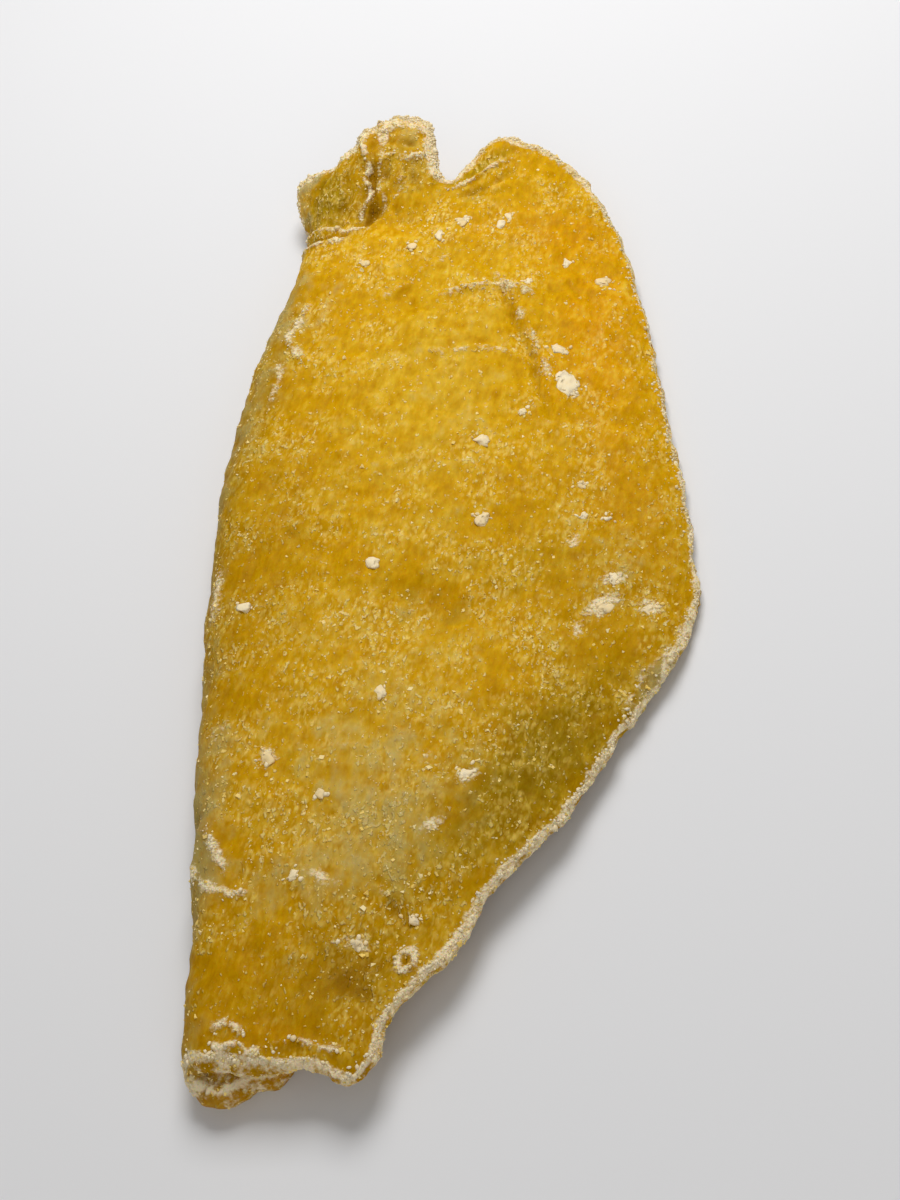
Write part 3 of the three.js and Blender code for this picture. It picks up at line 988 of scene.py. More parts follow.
@dataclass(frozen=True)
class FleshFinish:
    """Golden, leathery, slightly translucent mango flesh with a dusting of sugar."""

    golden: Colour = (0.69, 0.37, 0.001)
    deep: Colour = (0.73, 0.34, 0.0005)
    pale: Colour = (0.72, 0.44, 0.022)
    olive_and_shade: Colour = (0.44, 0.275, 0.004)
    lit: Colour = (0.87, 0.545, 0.04)
    fleck_and_glint: Colour = (0.97, 0.70, 0.17)
    speck: Colour = (0.97, 0.74, 0.30)
    cream: Colour = (0.66, 0.48, 0.19)
    bright_cream: Colour = (0.95, 0.80, 0.52)
    painted_shade_colour: Colour = (0.27, 0.125, 0.0005)
    haze_and_reflection: Colour = (0.56, 0.45, 0.20)
    # What the colour is multiplied by between the fibres, and the painted shade toward the foot, where the
    # light falls off.
    dark_shade: Colour = (0.76, 0.68, 0.30)
    painted_falloff_colour: Colour = (0.68, 0.655, 0.45)
    lit_share: float = 0.85
    sugar_share: float = 0.85
    bloom_and_reflection_share: float = 0.9
    crust_share: float = 0.9
    # Distance between neighbouring clouds of each kind, mm, and how much longer some of them are.
    broad_mm: float = 8.0
    medium_mm: float = 3.2
    small_mm: float = 1.4
    small_stretch: Triple = (1.0, 1.4, 1.0)
    fibre_mm: float = 0.65
    fibre_stretch: Triple = (1.0, 2.2, 1.0)
    crumb_mm: float = 0.45
    # Tones over which the dark shade fades, and over which the lit colour comes in.
    dark_tones: Span = (-0.7, 0.3)
    lit_tones: Span = (0.05, 0.75)
    # Light flecks, which are dots within cells and streaks along the fibres and are partly painted glints,
    # and specks of sugar.
    cell_mm: float = 0.65
    cell_stretch: Triple = (1.0, 1.5, 1.0)
    dot_mm: float = 0.9
    dot_levels: Span = (-0.05, 0.3)
    dot_share: float = 0.4
    streak_mm: float = 0.42
    streak_levels: Span = (0.48, 0.75)
    streak_share: float = 0.65
    speck_mm: float = 0.5
    speck_levels: Span = (0.67, 0.8)
    # Lightness over which the crust turns from cream to bright cream.
    crust_levels: Span = (-0.4, 0.5)
    roughness: float = 0.46
    bump_strength: float = 0.9
    bump_mm: float = 0.3
    specular: float = 0.015
    subsurface: float = 0.25
    scatter_radius: Colour = (1.0, 0.42, 0.08)
    scatter_mm: float = 0.8

    def build(self) -> bpy.types.Material:
        """Make the material.

        Returns:
            The material.
        """
        tree = ShaderTree("mango_flesh")
        clouds = Clouds(
            tree,
            broad=tree.centred(self.broad_mm),
            medium=tree.centred(self.medium_mm),
            small=tree.centred(self.small_mm, self.small_stretch),
            fibre=tree.centred(self.fibre_mm, self.fibre_stretch),
            crumbs=tree.centred(self.crumb_mm),
        )
        tone = clouds.on(clouds.broad * 0.5, medium=0.45, small=0.55, fibre=0.75)
        flecks, specks = self.flecks(clouds), self.specks(tree, tone)
        crust = clouds.cover("crust", 0.25, 0.95, crumbs=0.7, small=0.4)
        colour = self.mottled(tree, self.ground(clouds), tone)
        # Light flecks of sugar, partly painted glints along the fibres.
        colour = tree.mix(flecks * self.sugar_share, colour, self.fleck_and_glint)
        colour = tree.mix(specks * self.sugar_share, colour, self.speck)
        # Whitish sugar film, with a painted reflection on the fold's flank and the lobe.
        bloom_and_reflection = clouds.cover("bloom_and_reflection", 0.22, 1.1, medium=0.35, small=0.55)
        colour = tree.mix(bloom_and_reflection * self.bloom_and_reflection_share, colour, self.haze_and_reflection)
        # Painted shade where the light falls off toward the foot, and in places.
        painted_falloff = clouds.cover("painted_falloff", 0.0, 1.0, broad=0.2, medium=0.15)
        colour = tree.mix(painted_falloff, colour, tree.mix(1.0, colour, self.painted_falloff_colour, Blend.MULTIPLY))
        # Painted shade in dents, grooves, fine hollows, on the flank and under the tucked margin.
        colour = tree.mix(clouds.cover("painted_shade", 0.05, 1.2, medium=0.25, small=0.15), colour, self.painted_shade_colour)
        colour = tree.mix(crust * self.crust_share, colour, self.crust_colour(clouds))
        dullness = crust * 0.25 + specks * 0.1 - tree.attribute("deep") * 0.1
        height = clouds.small * 0.25 + clouds.fibre * 0.2 + flecks * 0.2 + specks * 0.4
        height = height + crust * (clouds.crumbs * 0.6 + 0.3)
        return tree.principled({
            "Base Color": colour,
            "Roughness": clouds.on(dullness, fibre=0.12) + self.roughness,
            "Normal": tree.bump(self.bump_strength, self.bump_mm, height),
            "Subsurface Weight": self.subsurface,
            "Subsurface Radius": self.scatter_radius,
            "Subsurface Scale": self.scatter_mm * METRES_PER_MM,
            "Specular IOR Level": self.specular,
        })

    def ground(self, clouds: Clouds) -> Wire:
        """Lay the flesh's broad fields of colour.

        Args:
            clouds: The skin's clouds.

        Returns:
            The colour.
        """
        deep = clouds.cover("deep", 0.3, 1.1, broad=0.5, medium=0.4)
        pale = clouds.cover("pale", 0.12, 1.0, medium=0.6, small=0.4, broad=-0.4)
        # Greenish-brown tone, partly painted shade on the lobe, the left flank and the lower right.
        olive_and_shade = clouds.cover("olive_and_shade", 0.05, 1.1, medium=0.35)
        colour = clouds.tree.mix(deep, self.golden, self.deep)
        return clouds.tree.mix(olive_and_shade, clouds.tree.mix(pale, colour, self.pale), self.olive_and_shade)

    def mottled(self, tree: ShaderTree, colour: Wire, tone: Wire) -> Wire:
        """Darken the colour where the tone is low and lighten it where it is high.

        Args:
            tree: The material's tree.
            colour: The colour.
            tone: The tone, about 0 on average.

        Returns:
            The mottled colour.
        """
        dark = tree.mix(1.0, colour, self.dark_shade, Blend.MULTIPLY)
        colour = tree.mix(tree.ramp(tone, *self.dark_tones), dark, colour)
        return tree.mix(tree.ramp(tone, *self.lit_tones) * self.lit_share, colour, self.lit)

    def flecks(self, clouds: Clouds) -> Wire:
        """Find the light flecks where the fibres end in the skin, partly sugar and partly painted glints,
        more of them where sugar lies.

        Args:
            clouds: The skin's clouds.

        Returns:
            How strongly each place is lit, from 0 to 1.
        """
        tree = clouds.tree
        cells = {"Vector": tree.millimetres(self.cell_stretch), "Scale": 1 / self.cell_mm}
        distance = tree.node("ShaderNodeTexVoronoi", {}, cells, "Distance")
        nearness = clouds.on(tree.clouds(self.dot_mm, 1.0) * 0.9 - distance, medium=0.1)
        dots = tree.ramp(nearness, *self.dot_levels)
        streaks = tree.ramp(tree.clouds(self.streak_mm, 1.0, self.fibre_stretch), *self.streak_levels)
        flecks = dots * self.dot_share + streaks * self.streak_share
        return flecks * clouds.cover("dust", 0.3, 1.5, medium=0.4)

    def specks(self, tree: ShaderTree, tone: Wire) -> Wire:
        """Find where the finest sugar sticks."""
        grains = tree.clouds(self.speck_mm, 1.0, self.cell_stretch)
        return tree.ramp(grains + tree.attribute("dust") * 0.035 + tone * 0.1, *self.speck_levels)

    def crust_colour(self, clouds: Clouds) -> Wire:
        """Mix the crumbly cream of the crust, which is brighter toward the foot."""
        lightness = clouds.on(clouds.crumbs, fibre=0.6) + clouds.tree.attribute("painted_falloff") * 0.5
        return clouds.tree.mix(clouds.tree.ramp(lightness, *self.crust_levels), self.cream, self.bright_cream)


@dataclass(frozen=True)
class SugarFinish:
    """Cream-coloured sugar, clearer or whiter from grain to grain."""

    name: str
    stained: Colour = (0.89, 0.61, 0.14)
    white: Colour = (0.95, 0.76, 0.37)
    roughness: float = 0.4
    roughness_change: float = 0.3
    cloud_mm: float = 0.5
    tint_change: float = 0.4
    bump_strength: float = 0.4
    bump_mm: float = 0.06
    specular: float = 0.3
    subsurface: float = 0.3
    scatter_radius: Colour = (1.0, 0.9, 0.7)
    scatter_mm: float = 0.3

    def build(self) -> bpy.types.Material:
        """Make the material.

        Returns:
            The material.
        """
        tree = ShaderTree(self.name)
        fine = tree.clouds(self.cloud_mm) - 0.5
        tint = tree.ramp(tree.attribute("tint") + fine * self.tint_change, 0.0, 1.0)
        return tree.principled({
            "Base Color": tree.mix(tint, self.stained, self.white),
            "Roughness": fine * self.roughness_change + self.roughness,
            "Normal": tree.bump(self.bump_strength, self.bump_mm, fine),
            "Subsurface Weight": self.subsurface,
            "Subsurface Radius": self.scatter_radius,
            "Subsurface Scale": self.scatter_mm * METRES_PER_MM,
            "Specular IOR Level": self.specular,
        })


@dataclass
class Skin:
    """Places on the finished flesh that sugar can lie on.

    Attributes:
        centres: Middle of each face, mm.
        normals: Direction of each face.
        edges: The face's two half edges, mm.
        areas: Area of each face, square mm.
        density: How thickly sugar lies there, for each face.
    """

    centres: Array
    normals: Array
    edges: tuple[Array, Array]
    areas: Array
    density: Array

    @classmethod
    def of(cls, vertices: Array, quads: Array, density: Array) -> "Skin":
        """Measure the faces of a mesh.

        Args:
            vertices: Its vertices, mm.
            quads: Its faces.
            density: How thickly sugar lies at each vertex.

        Returns:
            The places.
        """
        a, b, c, d = (vertices[quads[:, k]] for k in range(4))
        cross = np.cross(c - a, d - b)
        length = np.linalg.norm(cross, axis=1)
        across, along = (b + c - a - d) / 4, (c + d - a - b) / 4
        normals = cross / np.maximum(length, TINY)[:, None]
        return cls((a + b + c + d) / 4, normals, (across, along), length / 2, density[quads].mean(axis=1))

    def scatter(self, rng: np.random.Generator, count: int) -> tuple[Array, Array]:
        """Draw random places, more of them where sugar lies thickly.

        Args:
            rng: Source of the random numbers.
            count: How many.

        Returns:
            Places and directions.
        """
        weight = self.areas * self.density
        chosen = rng.choice(len(weight), count, p=weight / weight.sum())
        u, v = rng.uniform(-1, 1, (2, count, 1))
        places = self.centres[chosen] + self.edges[0][chosen] * u + self.edges[1][chosen] * v
        return places, self.normals[chosen]


@dataclass
class FleshBody:
    """The slice itself: a fine grid over both faces of the bent sheet, joined by a rounded ragged rim."""

    pattern: FlatPattern = field(default_factory=FlatPattern)
    sheet: BentSheet = field(default_factory=BentSheet)
    relief: SkinRelief = field(default_factory=SkinRelief)
    finish: FleshFinish = field(default_factory=FleshFinish)
    column_counts: tuple[int, ...] = (16, 32, 96)
    row_shares: tuple[float, ...] = (0, 0.86, 1)
    row_counts: tuple[int, ...] = (240, 68)

    # The cut rim: rings round it, how far they bulge and how rough they are, and how it is bitten into.
    rim_bands: int = 5
    rim_bulge: float = 0.75
    rim_probe: float = 0.4
    rim_bumps: Unevenness = Unevenness(95, 0.9, 2)
    rim_bump_height: float = 0.14
    bite_depth: float = 0.3
    bites: Unevenness = Unevenness(81, 3.4, 3)
    bite_change: float = 0.35
    nicks: Unevenness = Unevenness(82, 1.0)
    nick_change: float = 0.12
    bite_reach: float = 1.6

    # Crust beside the rim: its width, its uneven edge, and its patches on the cut.
    rim_width: Stations = (
        (-67, 0.5), (-56, 0.75), (-45, 0.7), (-22, 0.6), (-14, 1.1), (-4, 0.7), (8, 0.35), (46, 0.4),
        (56, 1.1), (66, 1.5),
    )
    rim_wider: Patches = patches(
        (-11.2, 57.5, 5.5, 1.6, 75, 1.1), (-15, 64, 4, 2, 0, 1.0), (-21, 61, 3, 2.5, 50, 0.9),
        (-8, -64.5, 14, 2, 0, 0.1), (26.7, -18.5, 4.5, 2.2, 68, -0.45), (23, -28, 5, 2.5, 62, 0.2),
    )
    crust_edge: Span = (1.5, 0.4)
    crust_bumps: Unevenness = Unevenness(91, 1.6, 2)
    crust_change: float = 0.5
    cut_crust: float = 0.72
    cut_crust_loss: float = 0.22
    cut_crust_loss_y: Span = (-58, -63)
    cut_patches: Unevenness = Unevenness(97, 2.6, 2)
    cut_patch_change: float = 0.8
    cut_crust_limits: Span = (0.05, 0.95)

    # Fields of the top's skin that the finish reads.
    deep: Patches = patches(
        (14, 30, 22, 8, 97, 0.9), (1, 46, 13, 5, 5, 0.7), (22, 2, 14, 6, 100, 0.5),
        (3.7, -11, 8, 5, 15, 0.45), (-17, -5, 32, 5, 85, 0.4), (-9, -55, 8, 6, 0, 0.5),
        (-5, -61.5, 9, 2.5, 0, 0.6), (-16, 46, 5, 4, 60, 0.3),
    )
    pale: Patches = patches(
        (-6, 22, 22, 9, 82, 0.65), (1, 10, 18, 6, 85, 0.4), (-2, -27, 20, 10, 80, 0.65),
        (20, -2, 12, 6, 100, 0.4), (4, -41, 8, 7, 40, 0.6), (-24, 52, 6, 6, 0, 0.4), (-14, 57, 4, 6, 0, 0.6),
    )
    # Greenish-brown tone, partly painted shade on the lobe, the left flank and the lower right.
    olive_and_shade: Patches = patches(
        (-4.5, 56.8, 6, 1.2, 35, 0.9), (16, -30, 15, 6, 60, 0.95), (-25, 5, 45, 3.5, 90, 0.55),
        (-23, 50, 7, 6, 0, 0.75), (12, -6, 9, 6, 20, 0.4), (2, -54.5, 8, 4, 40, 0.55),
        (-17, -50, 12, 3, 90, 0.45), (26.3, -18.4, 5.5, 1.3, 68, 0.5),
    )
    # Painted shade in the dents, the valley, the creases and down the left side.
    painted_shade: Patches = patches(
        (-16, -14, 26, 5, 88, 0.15), (-8, -56, 10, 7, 0, 0.1), (3.7, -11.5, 8, 3.5, 15, 0.45),
        (1.5, -55, 6, 3, 30, 0.8), (5, -47.5, 4, 1.6, -25, 0.3), (-4, 51.5, 5, 1.8, 25, 0.4),
        (-14.6, 59.7, 2.2, 0.9, 0, 0.35), (-17.6, 51.5, 1.6, 5, 0, 0.45), (-21, 49, 3, 3, 0, 0.2),
        (-26, -20, 40, 7, 85, 0.18), (-10, -24, 30, 8, 80, 0.08),
    )
    # Painted shade: how much darker the skin is painted toward the foot, where the light falls off, and in
    # places.
    painted_falloff: Stations = ((-66, 0.85), (-40, 0.5), (-20, 0.34), (0, 0.34), (25, 0.15), (60, 0.1))
    painted_falloff_patches: Patches = patches(
        (24, -6, 16, 10, 80, 0.25), (17, -30, 14, 7, 60, 0.5), (-19, -11, 26, 7, 85, 0.38),
        (-18, 55, 12, 8, 0, 0.6), (-8, 8, 14, 12, 60, -0.1), (-23.5, 22, 14, 3.5, 90, 0.45),
    )
    # Whitish sugar film, with a painted reflection on the flank and the lobe.
    bloom_and_reflection: Patches = patches(
        (3, -40, 13, 8, 50, 0.42), (-29, 52.5, 3, 6, 0, 0.65), (-28, 56.5, 4, 1.6, 0, 0.6),
        (-15.5, 61.5, 4, 3, 0, 0.5), (-23.0, 59.5, 4, 1.6, 40, 0.5), (-17, -38, 14, 3, 90, 0.3),
        (-2, -27, 18, 10, 80, 0.36), (20, 0, 10, 5, 100, 0.2), (-23.5, 20, 14, 3, 90, 0.3),
        (21, -7, 7, 5, 60, 0.18), (2, 12, 18, 7, 85, 0.15), (-19, 30, 10, 3, 80, 0.3),
        (-12, -46, 7, 3, 0, 0.3), (-6, 22, 14, 9, 82, 0.12), (26.2, -18.4, 5.5, 1.4, 68, 1.0),
    )
    dust: Patches = patches(
        (3, -44, 12, 7, 30, 0.5), (-6, -45, 8, 3, 0, 0.4), (22, -10, 8, 5, 60, 0.4),
        (-22, 20, 30, 3, 90, 0.3), (-21, 46, 8, 5, 0, 0.4), (12, -30, 15, 8, 60, 0.2),
        (14, 32, 20, 8, 97, -0.45), (-6, -58, 9, 5, 0, -0.35), (-10, -20, 14, 8, 80, 0.2),
        (-4, 18, 22, 10, 85, -0.6), (2, -22, 18, 12, 60, 0.4),
    )

    # What the underside has of the fields instead.
    under_deep: float = 0.3
    under_pale: float = 0.4
    under_olive: float = 0.2
    # Painted shade on the underside at the foot, between the two layers.
    under_painted_shade: float = 0.05
    under_crust: float = 0.45
    under_dust: float = 0.45
    foot_y: Span = (-54, -58)

    # Painted shade in grooves and in the skin's folds.
    groove_shade_gain: float = 1.4
    fold_level: float = 0.12
    fold_depth: float = 0.2
    fold_painted_shade: float = -0.22
    fold_bloom: float = 0.12
    ruffle_crust: float = 2.0

    # Painted shade and painted reflection on the flank of the fold: where it lies past the crest, where it
    # ends, and what it adds.
    flank_start: Span = (-2.0, 3.5)
    flank_end: Span = (9.5, 4.5)
    flank_y: Span = (46, 36)
    flank_patches: Unevenness = Unevenness(99, 4.5, 3, (1, 1.6, 1))
    flank_mean: float = 0.85
    flank_change: float = 0.7
    flank_painted_shade: float = 0.1
    flank_painted_falloff: float = 0.3
    flank_painted_reflection: float = 0.62

    # Painted shade, with a deeper orange, on the end of the tucked margin at the foot, under the top layer.
    tuck_x: Span = (-11, -14)
    tuck_y: Span = (-54, -60)
    tuck_painted_shade: float = 0.3
    tuck_deep: float = 0.8

    # Sugar dust, which clots in clouds.
    dust_mean: float = 0.9
    dust_limits: Span = (0.1, 3)
    dust_clouds: Unevenness = Unevenness(92, 6, 4)
    dust_change: float = 1.8
    dust_peak: float = 0.9
    crust_dust: float = 2.2

    def spread(self, stops: tuple[float, ...], counts: tuple[int, ...]) -> Array:
        """Divide the way from 0 to 1 into that many steps between neighbouring stops."""
        parts = [np.linspace(a, b, n, endpoint=False) for a, b, n in zip(stops, stops[1:], counts)]
        return np.concatenate([*parts, [1.0]])

    def place(self, side: Side, points: Array) -> tuple[Array, Array]:
        """Find places on one face of the sheet.

        Args:
            side: Which face.
            points: Points of the pattern.

        Returns:
            Places and upward directions.
        """
        to_rim, _, inward = nearest_on_line(points, self.pattern.rim())
        return self.faced(side, self.ragged(points, to_rim, inward), to_rim)

    def ragged(self, points: Array, to_rim: Array, inward: Array) -> Array:
        """Draw the rim in unevenly, and what lies beside it with it.

        Args:
            points: Points of the pattern.
            to_rim: Their distances to the rim.
            inward: Directions into the pattern.

        Returns:
            The points, drawn in.
        """
        depth = self.bite_depth + self.bite_change * self.bites.at(points)
        depth = depth + self.nick_change * self.nicks.at(points)
        return points + inward * (np.maximum(depth, 0) * np.exp(-to_rim / self.bite_reach))[:, None]

    def faced(self, side: Side, points: Array, to_rim: Array) -> tuple[Array, Array]:
        """Bend points and lift them to one face, with its relief.

        Args:
            side: Which face.
            points: Points of the pattern.
            to_rim: Their distances to the rim.

        Returns:
            Places and upward directions.
        """
        half = self.sheet.half_thickness(points, to_rim)
        normal = self.sheet.normal(points, half)
        offset = (half + self.relief.height(side, points, to_rim)) * side.value
        placed = self.sheet.middle(points, half) + normal * offset[:, None]
        placed[:, 2] = np.maximum(placed[:, 2], 0)
        return placed, normal

    def flank(self, points: Array) -> Array:
        """Read how much painted shade and painted reflection the flank of the fold gets.

        Args:
            points: Points of the pattern.

        Returns:
            About 0 to 1 for each point.
        """
        x, y = points.T
        past = through(self.sheet.fold_x, y) - x
        flank = smooth_ramp(*self.flank_start, past) * smooth_ramp(*self.flank_end, past)
        flank = flank * smooth_ramp(*self.flank_y, y)
        return flank * (self.flank_mean + self.flank_change * self.flank_patches.at(points))

    def masks(self, side: Side, points: Array, to_rim: Array) -> dict[str, Array]:
        """Read what the finish needs to know at points of one face.

        Args:
            side: Which face.
            points: Points of the pattern.
            to_rim: Their distances to the rim.

        Returns:
            Values by name.
        """
        top, y = float(side is Side.TOP), points[:, 1]
        under = 1 - top
        flank, ruffle = self.flank(points), self.relief.ruffle(points)
        folds = (self.relief.fine(side, points) + self.fold_level) / self.fold_depth
        folds = folds + top * ruffle / self.fold_depth
        grooves = self.groove_shade_gain * sum(-min(s.height, 0) * s.at(points) for s in self.relief.strokes)
        foot = under * smooth_ramp(*self.foot_y, y)
        # Painted shade in dents, grooves, on the flank, under the foot and in the skin's fine hollows.
        painted_shade = top * (together(self.painted_shade, points) + grooves + self.flank_painted_shade * flank)
        painted_shade = painted_shade + foot * self.under_painted_shade + self.fold_painted_shade * folds
        width = through(self.rim_width, y) + together(self.rim_wider, points)
        rim = smooth_ramp(*self.crust_edge, to_rim / width + self.crust_change * self.crust_bumps.at(points))
        ridges = np.clip(self.relief.crust(points) + self.ruffle_crust * np.maximum(ruffle, 0), 0, 1)
        # Painted shade where the light falls off toward the foot, in places and on the flank.
        painted_falloff = through(self.painted_falloff, y) + together(self.painted_falloff_patches, points) + self.flank_painted_falloff * flank
        # Whitish sugar film, with a painted reflection on the flank.
        bloom_and_reflection = top * together(self.bloom_and_reflection, points) + self.flank_painted_reflection * flank + self.fold_bloom * folds
        dust = np.clip(self.dust_mean + top * together(self.dust, points), *self.dust_limits)
        dust *= np.exp(np.minimum(self.dust_change * self.dust_clouds.at(points), self.dust_peak))
        return {
            "deep": top * together(self.deep, points) + under * self.under_deep,
            "pale": top * together(self.pale, points) + under * self.under_pale,
            "olive_and_shade": top * together(self.olive_and_shade, points) + under * self.under_olive,
            "painted_shade": np.clip(painted_shade, 0, 1),
            "painted_falloff": np.clip(painted_falloff, 0, 1),
            "crust": np.maximum(np.maximum(rim, self.under_crust * foot), top * ridges),
            "bloom_and_reflection": np.clip(bloom_and_reflection, 0, 1),
            "dust": dust * (1.0 if side is Side.TOP else self.under_dust),
        }

    def build(self) -> tuple[bpy.types.Object, Skin]:
        """Make the body.

        Returns:
            The piece, and the places on it that sugar can lie on.
        """
        across = self.spread(self.pattern.middle_shares, self.column_counts)
        along = self.spread(self.row_shares, self.row_counts)
        flat = self.pattern.grid(across, along)
        to_rim, _, inward = nearest_on_line(flat, self.pattern.rim())
        points = self.ragged(flat, to_rim, inward)
        numbers = np.arange(len(flat)).reshape(len(along), len(across))
        quads = np.stack([numbers[:-1, :-1], numbers[:-1, 1:], numbers[1:, 1:], numbers[1:, :-1]], -1)
        quads = quads.reshape(-1, 4)
        rim = np.concatenate([numbers[0, :-1], numbers[:-1, -1], numbers[-1, :0:-1], numbers[:0:-1, 0]])
        top, _ = self.faced(Side.TOP, points, to_rim)
        under, _ = self.faced(Side.UNDER, points, to_rim)
        bands = self.rim_rings(top[rim], under[rim], points[rim], inward[rim])
        vertices = np.concatenate([top, under, *bands])
        starts = 2 * len(flat) + len(rim) * np.arange(self.rim_bands)
        rings = [rim, *(start + np.arange(len(rim)) for start in starts), rim + len(flat)]
        walls = [np.stack([a, b, np.roll(b, -1), np.roll(a, -1)], -1) for a, b in zip(rings, rings[1:])]
        faces = np.concatenate([quads, quads[:, ::-1] + len(flat), *walls])
        masks = self.all_masks(points, to_rim, rim)
        body = make_object("mango_flesh_body", vertices, faces, self.finish.build(), masks)
        on_slice(body)
        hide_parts("mango_slice")
        return body, Skin.of(vertices, faces, masks["dust"] + self.crust_dust * masks["crust"])

    def rim_rings(self, top: Array, under: Array, points: Array, inward: Array) -> list[Array]:
        """Round the cut face of the rim.

        Args:
            top: The rim's places on the top face.
            under: The same on the underside.
            points: The same on the pattern.
            inward: Directions into the pattern.

        Returns:
            Rings of places from the top to the underside.
        """
        half = self.sheet.half_thickness(points, np.zeros(len(points)))
        outward = self.sheet.middle(points, half) - self.sheet.middle(points + self.rim_probe * inward, half)
        outward /= np.maximum(np.linalg.norm(outward, axis=1), TINY)[:, None]
        centre, upward = (top + under) / 2, (top - under) / 2
        reach = np.linalg.norm(upward, axis=1)[:, None] * self.rim_bulge
        rings = []
        for band in range(1, self.rim_bands + 1):
            angle = math.pi * band / (self.rim_bands + 1)
            ring = centre + upward * math.cos(angle) + outward * reach * math.sin(angle)
            ring += outward * self.rim_bump_height * self.rim_bumps.at(ring)[:, None]
            ring[:, 2] = np.maximum(ring[:, 2], 0)
            rings.append(ring)
        return rings

    def all_masks(self, points: Array, to_rim: Array, rim: Array) -> dict[str, Array]:
        """Read the finish's masks at every vertex.

        Args:
            points: Points of the pattern.
            to_rim: Their distances to the rim.
            rim: Numbers of those on the rim.

        Returns:
            Values by name, for the top, the underside and the rim's rings.
        """
        top, under = (self.masks(side, points, to_rim) for side in Side)
        cut = {key: top[key][rim] for key in top}
        x, y = points[rim].T
        tuck = smooth_ramp(*self.tuck_x, x) * smooth_ramp(*self.tuck_y, y)
        crust = self.cut_crust - self.cut_crust_loss * smooth_ramp(*self.cut_crust_loss_y, y)
        crust = crust + self.cut_patch_change * self.cut_patches.at(points[rim])
        cut["crust"] = np.clip(crust, *self.cut_crust_limits)
        # The tucked margin's end gets painted shade and a deeper orange.
        cut["painted_shade"] = np.clip(cut["painted_shade"] + self.tuck_painted_shade * tuck, 0, 1)
        cut["deep"] = cut["deep"] + self.tuck_deep * tuck
        return {key: np.concatenate([top[key], under[key], *[cut[key]] * self.rim_bands]) for key in top}


@dataclass(frozen=True)
class Crystal:
    """A small solid that many grains are copied from.

    Attributes:
        corners: Its corners, about a unit from its middle.
        faces: Its faces.
    """

    corners: Array
    faces: Array
    CUBE_HALF_EDGE: ClassVar[float] = 0.62

    @classmethod
    def cube(cls) -> "Crystal":
        """Make a cube.

        Returns:
            The cube.
        """
        corners = np.array(list(np.ndindex(2, 2, 2)), float) * 2 - 1
        faces = np.array([[0, 1, 3, 2], [4, 6, 7, 5], [0, 4, 5, 1], [2, 3, 7, 6], [0, 2, 6, 4], [1, 5, 7, 3]])
        return cls(corners * cls.CUBE_HALF_EDGE, faces)

    @classmethod
    def octahedron(cls) -> "Crystal":
        """Make an octahedron.

        Returns:
            The octahedron.
        """
        corners = np.array([(1, 0, 0), (0, 1, 0), (-1, 0, 0), (0, -1, 0), (0, 0, 1), (0, 0, -1)], float)
        faces = [(0, 1, 4), (1, 2, 4), (2, 3, 4), (3, 0, 4), (1, 0, 5), (2, 1, 5), (3, 2, 5), (0, 3, 5)]
        return cls(corners, np.array(faces))

    @classmethod
    def ball(cls, rounds: int) -> "Crystal":
        """Make a ball of triangles.

        Args:
            rounds: How often it is made finer.

        Returns:
            The ball.
        """
        ball = bmesh.new()
        bmesh.ops.create_icosphere(ball, subdivisions=rounds, radius=1)
        corners = np.array([v.co for v in ball.verts])
        faces = np.array([[v.index for v in f.verts] for f in ball.faces])
        ball.free()
        return cls(corners, faces)

    def copies(self, rng: np.random.Generator, places: Array, normals: Array, sizes: Array,
               jitter: float, flat: bool) -> tuple[Array, Array]:
        """Copy the solid to many places.

        Args:
            rng: Source of the random numbers.
            places: Where the copies lie, mm.
            normals: The skin's directions there.
            sizes: Half size along each axis, mm, one row to a copy.
            jitter: How unevenly the corners lie.
            flat: Whether the third axis stands on the skin, or every copy is turned any way.

        Returns:
            Vertices and faces of all copies.
        """
        count = len(places)
        if flat:
            first = np.cross(normals, rng.normal(size=(count, 3)))
            first /= np.linalg.norm(first, axis=1)[:, None]
            turns = np.stack([first, np.cross(normals, first), normals], axis=1)
        else:
            turns = np.linalg.qr(rng.normal(size=(count, 3, 3)))[0]
            turns[np.linalg.det(turns) < 0] *= -1
        shapes = self.corners[None] * (1 + jitter * rng.normal(size=(count, len(self.corners), 1)))
        shapes = shapes * sizes[:, None, :]
        vertices = (shapes @ turns + places[:, None, :]).reshape(-1, 3)
        vertices[:, 2] = np.maximum(vertices[:, 2], 0)
        faces = self.faces[None] + (np.arange(count) * len(self.corners))[:, None, None]
        return vertices, faces.reshape(-1, self.faces.shape[1])


